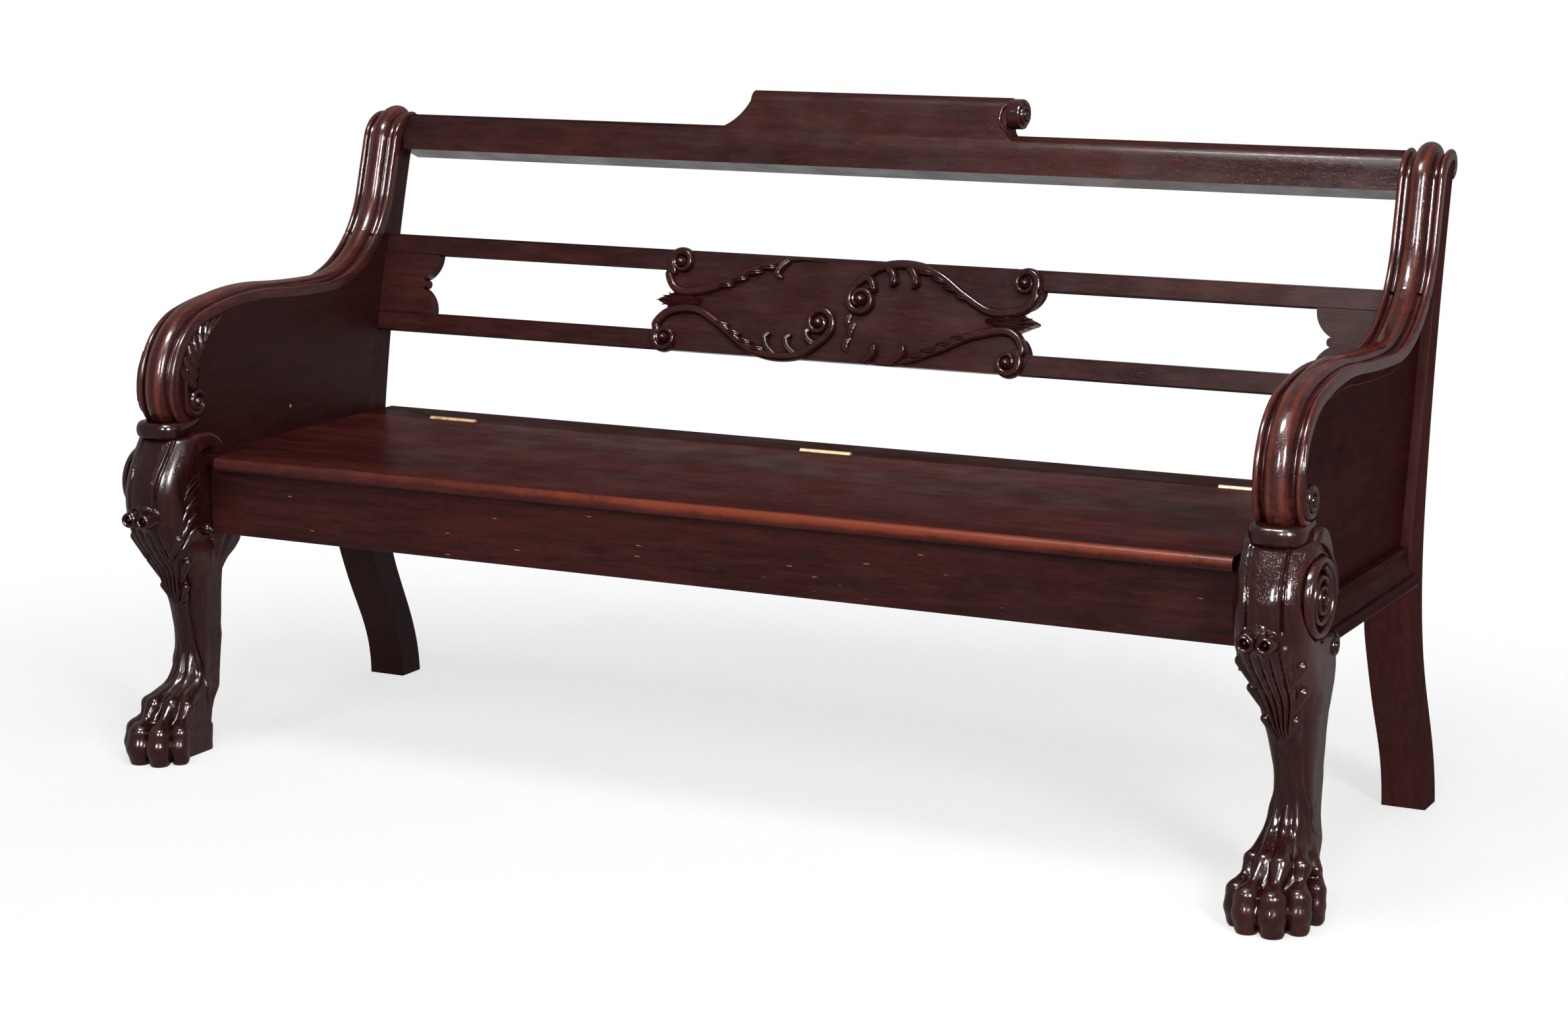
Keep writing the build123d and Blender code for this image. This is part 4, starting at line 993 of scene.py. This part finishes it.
# One cartouche, left hand, in (x, up) on the panel's front: two stems that end in volutes, with fronds and leaves
def cartouche(spare):
    shape = splatCarving
    curlUp = spiralPath(shape["upperEye"], 18.5, 9.0, 232.0, -1.3, 60)[::-1]
    curlLow = spiralPath(shape["lowerEye"], 19.0, 9.0, 142.0, 1.3, 60)[::-1]
    curlMid = spiralPath(shape["middleEye"], 22.0, 9.0, -38.0, 1.3, 60)
    upper = np.concatenate([curlUp, smoothPath([curlUp[-1]] + shape["upperStem"], 70)[1:]])
    lower = np.concatenate([curlLow, smoothPath([curlLow[-1]] + shape["lowerStem"] + [curlMid[0]], 90)[1:-1], curlMid])
    sheets = [stroke(upper, [2.0, 4.0, 5.6, 7.6, 7.2, 7.6, 7.4, 5.0, 1.0],
                     [12, 12, 11, 11, 10, 10, 9, 7, 2], columns=13, crease=0.12),
              stroke(lower, [2.0, 4.2, 6.0, 7.8, 7.4, 7.6, 7.6, 7.2, 6.4, 5.0, 2.4],
                     [12, 12, 11, 11, 10, 10, 10, 10, 12, 13, 14], columns=13, crease=0.12)]
    for eye, size in ((shape["upperEye"], 8.6), (shape["lowerEye"], 8.6), (shape["middleEye"], 9.6)):
        sheets.append(boss(eye, size, 16.5))
    for frond in shape["upperFronds"] + shape["lowerFronds"] + spare:
        sheets.append(stroke(smoothPath(frond, 30), [5.4, 6.6, 6.4, 5.8, 2.2], [8, 11, 13, 14, 9], columns=13,
                             crease=0.15))
    for key, lean in (("upperLeaf", -1.0), ("lowerLeaf", 1.0)):
        line = smoothPath(shape[key], 60)
        for k in range(4):
            piece = line[6 + 12 * k: 22 + 12 * k]
            bow = np.linspace(0, 1, len(piece))[:, None] ** 1.4 * np.array([[2.0, lean * (9.5 - 0.8 * k)]])
            sheets.append(stroke(piece + bow, [1.5, 5.2, 6.0, 4.8, 0.9], [8, 11.5, 12, 10, 4], columns=11, crease=0.2))
    for tip, lift in shape["tips"]:
        line = smoothPath([(-236, 0.3 * lift), (-264, 0.55 * lift), (-290, lift), tip], 30)
        sheets.append(stroke(line, [1.0, 3.4, 3.6, 2.4, 0.5], [6, 8, 8, 6, 1], columns=11, crease=0.2))
    return sheets


def makeSplat():
    plane, shape = backPlane, splatCarving
    middle = np.array(plane["origin"]) + plane["middle"] * np.array(plane["up"])
    about = 2 * np.array(shape["turnAbout"])
    end = smoothPath(shape["end"], 90)
    other = about - end
    other[[0, -1], 1] = -end[[0, -1], 1]
    outline = np.concatenate([end, other])
    outline[:, 1] = np.clip(outline[:, 1], -plane["halfTall"], plane["halfTall"])
    count = len(outline)
    front = np.concatenate([outline, np.zeros((count, 1))], 1)
    back = front - np.array([0, 0, plane["thick"]])
    points = np.concatenate([front, back])
    spots = middle + points[:, :1] * np.array([1, 0, 0]) + points[:, 1:2] * np.array(plane["up"]) + (
        points[:, 2:] * np.array(plane["out"]))
    makePiece("splat_panel_shaped", spots, slabFaces(count), mahoganyX, "frame", "mahogany", ["splat_panel"], sharp=30)
    for side in ("left", "right"):
        spare = [] if side == "left" else [shape["spareFrond"]]
        sheets = cartouche(spare)
        if side == "right":
            sheets = [(np.concatenate([about - grid[..., :2], grid[..., 2:]], -1), faces) for grid, faces in sheets]
            for frond in shape["gapFronds"]:
                sheets.append(stroke(smoothPath(frond, 20), [2.0, 6.4, 7.0, 2.6], [3, 6, 6, 3], columns=11, crease=0.2))
        carved, carvedFaces = onPlane(sheets, middle, (1, 0, 0), plane["up"], plane["out"])
        makePiece(f"splat_scroll_carved_{side}", carved, carvedFaces, carvedRelief, "frame", "carved_mahogany",
                  [f"splat_scroll_{side}"], sharp=60, bendWear=1.3)


makeSplat()
print("centre panel carved")

# Back rails: a bar with eased edges, carried along x from inside the centre panel to the post
railShape = {"inner": 280.0, "outer": 814.0, "low": (199.0, 321.5), "wide": 30.0, "thick": 20.0, "ease": 1.4}


def makeBackRails():
    shape, plane = railShape, backPlane
    turn = np.linspace(0, math.pi / 2, 4)
    ease = shape["ease"]
    corner = ease * (1 - np.stack([np.cos(turn), np.sin(turn)], 1))
    wide, thick = shape["wide"], shape["thick"]
    section = np.concatenate([corner, (corner * [1, -1] + [0, wide])[::-1], corner * [-1, -1] + [thick, wide],
                              (corner * [-1, 1] + [thick, 0])[::-1]])
    along = np.linspace(shape["inner"], shape["outer"], 40)
    for key, start in zip(("lower", "upper"), shape["low"]):
        x, s = np.meshgrid(along, np.arange(len(section)), indexing="ij")
        deep, rise = section[s, 0] + 0.25, section[s, 1] + start
        grid = np.stack([x, np.zeros(x.shape), np.zeros(x.shape)], -1) + np.array(plane["origin"]) + (
            rise[..., None] * np.array(plane["up"]) - deep[..., None] * np.array(plane["out"]))
        grid, faces = tubeFrom(grid)
        bothSides(f"{key}_back_rail_bar", grid, faces, mahoganyX, "frame", "mahogany", [f"{key}_back_rail"], sharp=40,
                  bendWear=0.25)


makeBackRails()

# Side panel: a slab whose edge follows the arm a little inside it, then the post, then the rail
panelShape = {"inner": 814.0, "outer": 862.0, "inset": 9.0, "postFront": 172.6, "postKnee": 382.0, "lean": 0.2506,
              "low": 386.0, "front": -246.0, "edgeAbove": 492.0}


def makeSidePanels():
    shape = panelShape
    spots, headings = armRun()
    edge = spots - shape["inset"] * outwardOf(headings)
    edge = edge[edge[:, 1] > shape["edgeAbove"]]
    level = np.linspace(edge[-1, 1], shape["low"], 12)
    post = np.stack([shape["postFront"] + shape["lean"] * (level - shape["postKnee"]), level], 1)
    edge = edge[edge[:, 0] < post[0, 0]]
    outline = np.concatenate([edge, post, [[shape["front"], shape["low"]]]])
    count = len(outline)
    points = np.concatenate([np.column_stack([np.full(count, x), outline]) for x in (shape["inner"], shape["outer"])])
    bothSides("side_panel_slab", points, slabFaces(count), mahoganyPanel, "frame", "mahogany", ["side_panel"], sharp=30)


makeSidePanels()

# A small pale chip in the left panel's inner face, in (y, z)
panelChip = {"spot": (-13.0, 485.0), "radius": 2.6, "high": 0.5, "narrow": 0.8}


# A low boss made narrower along y about its own spot
def makePanelChip():
    spot, narrow = panelChip["spot"], panelChip["narrow"]
    origin = (-panelShape["inner"], (1 - narrow) * spot[0], 0)
    points, faces = onPlane([boss(spot, panelChip["radius"], panelChip["high"])], origin, (0, narrow, 0), (0, 0, 1),
                            (1, 0, 0))
    makePiece("panel_chip", points, faces, innerWood, "frame", "inner_wood")


makePanelChip()

# Band under the arm on the panel's outer face: flat, with a fine ridge along its lower edge,
# in (x, depth under the arm)
armBand = {"section": [(858, 8), (863.2, 8), (863.2, 23.5), (864.4, 24.2), (864.4, 25.4), (863.2, 26.2), (858, 26.2)],
           "ridge": (3, 4), "above": 512.0, "before": 168.0}


def makeArmBands():
    shape = armBand
    spots, headings = armRun()
    section = np.array(shape["section"])
    yz = spots[:, None, :] + section[None, :, 1, None] * -outwardOf(headings)[:, None, :]
    grid = np.concatenate([np.broadcast_to(section[None, :, :1], (*yz.shape[:2], 1)), yz], -1)
    grid = grid[(yz[:, -1, 1] > shape["above"]) & (yz[:, -1, 0] < shape["before"])]
    grid, faces = tubeFrom(grid)
    wear = np.zeros(grid.shape[:2])
    wear[:, shape["ridge"]] = 0.75
    bothSides("arm_band", grid, faces, mahoganyPanel, "frame", "mahogany", ["arm_cove"], sharp=30, wear=wear)


makeArmBands()

# Side rail: fillet, cove and lip carried along y, from inside the leg's scroll to the post
sideRailShape = {"from": -240.0, "to": 172.0, "inner": 819.0, "lip": 890.0, "fillet": 872.0, "low": 338.0,
                 "lipTop": 355.0, "coveTop": 383.0, "high": 390.0}


def makeSideRails():
    shape = sideRailShape
    part = np.linspace(0, math.pi / 2, 12)
    lipRound = np.stack([shape["lip"] - 4 + 4 * np.cos(np.linspace(-1.5, 1.5, 9)),
                         (shape["low"] + shape["lipTop"]) / 2 + 8 * np.sin(np.linspace(-1.5, 1.5, 9))], 1)
    cove = np.stack([shape["lip"] - 5 - (shape["lip"] - 5 - shape["fillet"]) * np.sin(part),
                     shape["lipTop"] + (shape["coveTop"] - shape["lipTop"]) * (1 - np.cos(part))], 1)
    section = np.concatenate([[[shape["inner"], shape["low"]], [shape["lip"] - 7, shape["low"]]], lipRound, cove,
                              [[shape["fillet"] + 1.2, shape["coveTop"] + 0.6],
                               [shape["fillet"] + 1.2, shape["high"] - 0.8],
                               [shape["fillet"] + 0.4, shape["high"]], [shape["inner"], shape["high"]]]])
    along = np.linspace(shape["from"], shape["to"], 60)
    y, s = np.meshgrid(along, np.arange(len(section)), indexing="ij")
    grid = np.stack([section[s, 0], y, section[s, 1]], -1)
    grid, faces = tubeFrom(grid)
    bothSides("side_rail_coved", grid, faces, mahoganyY, "frame", "mahogany", ["side_rail"], sharp=40, bendWear=0.5)


makeSideRails()

# Seat end: a fixed fillet that closes the notch between the lid and the front leg
seatEndShape = {"x": (777.5, 813.5), "y": (-234.0, -158.5), "z": (428.0, 447.0)}


def makeSeatEnds():
    shape = seatEndShape
    turn, rise = np.meshgrid(np.linspace(0, 2 * math.pi, 40, endpoint=False),
                             np.linspace(-math.pi / 2, math.pi / 2, 14), indexing="ij")
    ball = np.stack([np.cos(turn) * np.cos(rise), np.sin(turn) * np.cos(rise), np.sin(rise)], -1)
    squared = np.sign(ball) * np.abs(ball) ** 0.12
    low = np.array([shape[key][0] for key in "xyz"])
    high = np.array([shape[key][1] for key in "xyz"])
    grid = (low + high) / 2 + squared * (high - low) / 2
    bothSides("seat_end_fillet", grid, gridFaces(40, 14, wrapRows=True), mahoganyY, "frame", "mahogany", sharp=40)


makeSeatEnds()
print("rails, panels and seat ends made")

# Plain joinery: copies of the solids with eased edges
plainPieces = {
    "mahoganyX": (mahoganyX, ["back_rail", "seat_strip", "crest_rail", "bracket_upper_left", "bracket_upper_right",
                              "bracket_lower_left", "bracket_lower_right"], 1.2),
    # The right rear leg takes the copy with painted light, the left rear leg the copy with painted shade
    "rearRight": (mahoganyRearPaintedLight, ["rear_leg_right"], 2.4),
    "rearLeft": (mahoganyRearPaintedShade, ["rear_leg_left"], 2.4),
    "apron": (mahoganyApron, ["front_apron"], 1.2)}
for material, nodes, edge in plainPieces.values():
    for node in nodes:
        easedCopy(node, material, "frame", edge)
easedCopy("seat_lid", mahoganyLid, "lid", 1.2, 0.7)
easedCopy("tablet_volute", carvedRelief, "frame", 2.0)
print("joinery eased")

# Tablet's right end: a spiral on the roll's end face, and a raised crescent on the face beside it
tabletEnd = {"face": 241.0, "middle": (340.0, 938.0), "radius": 21.0, "faceFoot": (0.0, 300.0, 854.0),
             "up": (0.0, 0.2734, 0.9619),
             "crescent": [(226, 106), (215, 98), (211, 87), (212, 76), (219, 66), (228, 61)]}


def makeTabletEnd():
    shape = tabletEnd
    spiral = volute(shape["middle"], shape["radius"], 90.0, -1.7, bead=0.2, high=(3.5, 5.5), eye=0.24, count=70)
    parts = [onSide(spiral, shape["face"], 1)]
    rib = stroke(smoothPath(shape["crescent"], 40), [0.6, 2.4, 3.0, 2.4, 0.6], [1, 4, 5, 4, 1], columns=11)
    out = np.cross(shape["up"], (-1.0, 0.0, 0.0))
    parts.append(onPlane([rib], shape["faceFoot"], (1, 0, 0), shape["up"], out))
    points, faces = joinSheets(parts)
    makePiece("tablet_end_carving", points, faces, carvedRelief, "frame", "carved_mahogany", sharp=60, bendWear=2.2)


makeTabletEnd()

hidden = {"innerWood": (innerWood, ["lid_bearer_left", "lid_bearer_right", "ledger_strips", "bottom_boards",
                                    "corner_blocks", "lid_battens"]),
          "hingeBrass": (hingeBrass, ["hinge_leaves_fixed", "hinge_leaves_lid", "hinge_pins"]),
          "screwSteel": (screwSteel, ["fixed_leaf_screws", "lid_leaf_screws", "batten_screws"])}
for material, nodes in hidden.values():
    for node in nodes:
        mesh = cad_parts[node].data
        mesh.materials.clear()
        mesh.materials.append(material)
print("hinges and inner wood finished")

# Floor, backdrop and light
stageLook = {"floor": 0.92, "halfSize": 14.0, "fadeAcross": (0.62, 0.85, 0.0), "fadeFrom": 0.62, "fadeTo": 1.3,
             "whiteShare": 0.66, "worldFill": 0.24}


def makeFloor():
    mesh = bpy.data.meshes.new("floor")
    size = stageLook["halfSize"]
    mesh.from_pydata([(-size, -size, 0), (size, -size, 0), (size, size, 0), (-size, size, 0)], [], [(0, 1, 2, 3)])
    floor = bpy.data.objects.new("floor", mesh)
    bpy.context.scene.collection.objects.link(floor)
    material = bpy.data.materials.new("paleFloor")
    material.use_nodes = True
    tree = material.node_tree
    tree.nodes.clear()
    level = stageLook["floor"]
    matt = addNode(tree, "ShaderNodeBsdfDiffuse", {"Color": (level, level, level, 1)})
    white = addNode(tree, "ShaderNodeEmission", {"Color": (1, 1, 1, 1), "Strength": 1.0})
    place = addNode(tree, "ShaderNodeTexCoord").outputs["Object"]
    scaled = addNode(tree, "ShaderNodeMapping", {"Scale": stageLook["fadeAcross"]})
    tree.links.new(place, scaled.inputs["Vector"])
    length = addNode(tree, "ShaderNodeVectorMath", operation="LENGTH")
    tree.links.new(scaled.outputs[0], length.inputs[0])
    fade = remap(tree, length.outputs["Value"], stageLook["fadeFrom"], stageLook["fadeTo"],
                 stageLook["whiteShare"], 1.0)
    mix = addNode(tree, "ShaderNodeMixShader")
    tree.links.new(compute(tree, "MULTIPLY", fade, seenRays(tree)), mix.inputs[0])
    tree.links.new(matt.outputs[0], mix.inputs[1])
    tree.links.new(white.outputs[0], mix.inputs[2])
    tree.links.new(mix.outputs[0], addNode(tree, "ShaderNodeOutputMaterial").inputs["Surface"])
    mesh.materials.append(material)


def makeWorld():
    world = bpy.data.worlds.new("studio")
    bpy.context.scene.world = world
    world.use_nodes = True
    tree = world.node_tree
    tree.nodes.clear()
    strength = compute(tree, "MAXIMUM", seenRays(tree), stageLook["worldFill"])
    background = addNode(tree, "ShaderNodeBackground", {"Color": (1, 1, 1, 1)})
    tree.links.new(strength, background.inputs["Strength"])
    tree.links.new(background.outputs[0], addNode(tree, "ShaderNodeOutputWorld").inputs["Surface"])


# Soft boxes: name, place, aim, width, height, power, and whether they light (diffuse) or only shine (glossy)
softBoxes = [("keyBox", (-1.7, -3.9, 2.6), (0.0, 0.0, 0.5), 0.6, 1.1, 30.0, "light"),
             ("sideBox", (3.4, -2.9, 2.4), (0.3, 0.0, 0.5), 0.6, 1.1, 110.0, "light"),
             ("topBox", (0.5, -1.2, 3.4), (0.1, 0.0, 0.4), 2.6, 1.0, 62.0, "both"),
             ("frontBox", (1.4, -4.6, 2.3), (0.6, 0.0, 0.5), 0.6, 1.0, 55.0, "light"),
             ("frontShine", (0.9, -4.8, 2.6), (0.2, 0.0, 0.5), 0.4, 1.2, 700.0, "shine"),
             ("backBox", (-0.8, 4.2, 2.6), (0.0, 0.2, 0.5), 1.4, 1.0, 34.0, "light"),
             ("topShine", (0.2, -1.7, 3.7), (0.0, 0.0, 0.5), 1.1, 0.6, 800.0, "shine"),
             ("sideShine", (3.2, -3.1, 2.3), (0.3, 0.0, 0.5), 0.4, 1.2, 1300.0, "shine")]


def makeLights():
    for name, place, aim, width, height, power, use in softBoxes:
        data = bpy.data.lights.new(name, "AREA")
        data.shape = "RECTANGLE"
        data.size = width
        data.size_y = height
        data.energy = power
        lamp = bpy.data.objects.new(name, data)
        lamp.location = place
        lamp.rotation_euler = (Vector(aim) - Vector(place)).to_track_quat("-Z", "Y").to_euler()
        lamp.visible_diffuse = use != "shine"
        lamp.visible_glossy = use != "light"
        bpy.context.scene.collection.objects.link(lamp)


makeFloor()
makeWorld()
makeLights()
print("stage and light set")
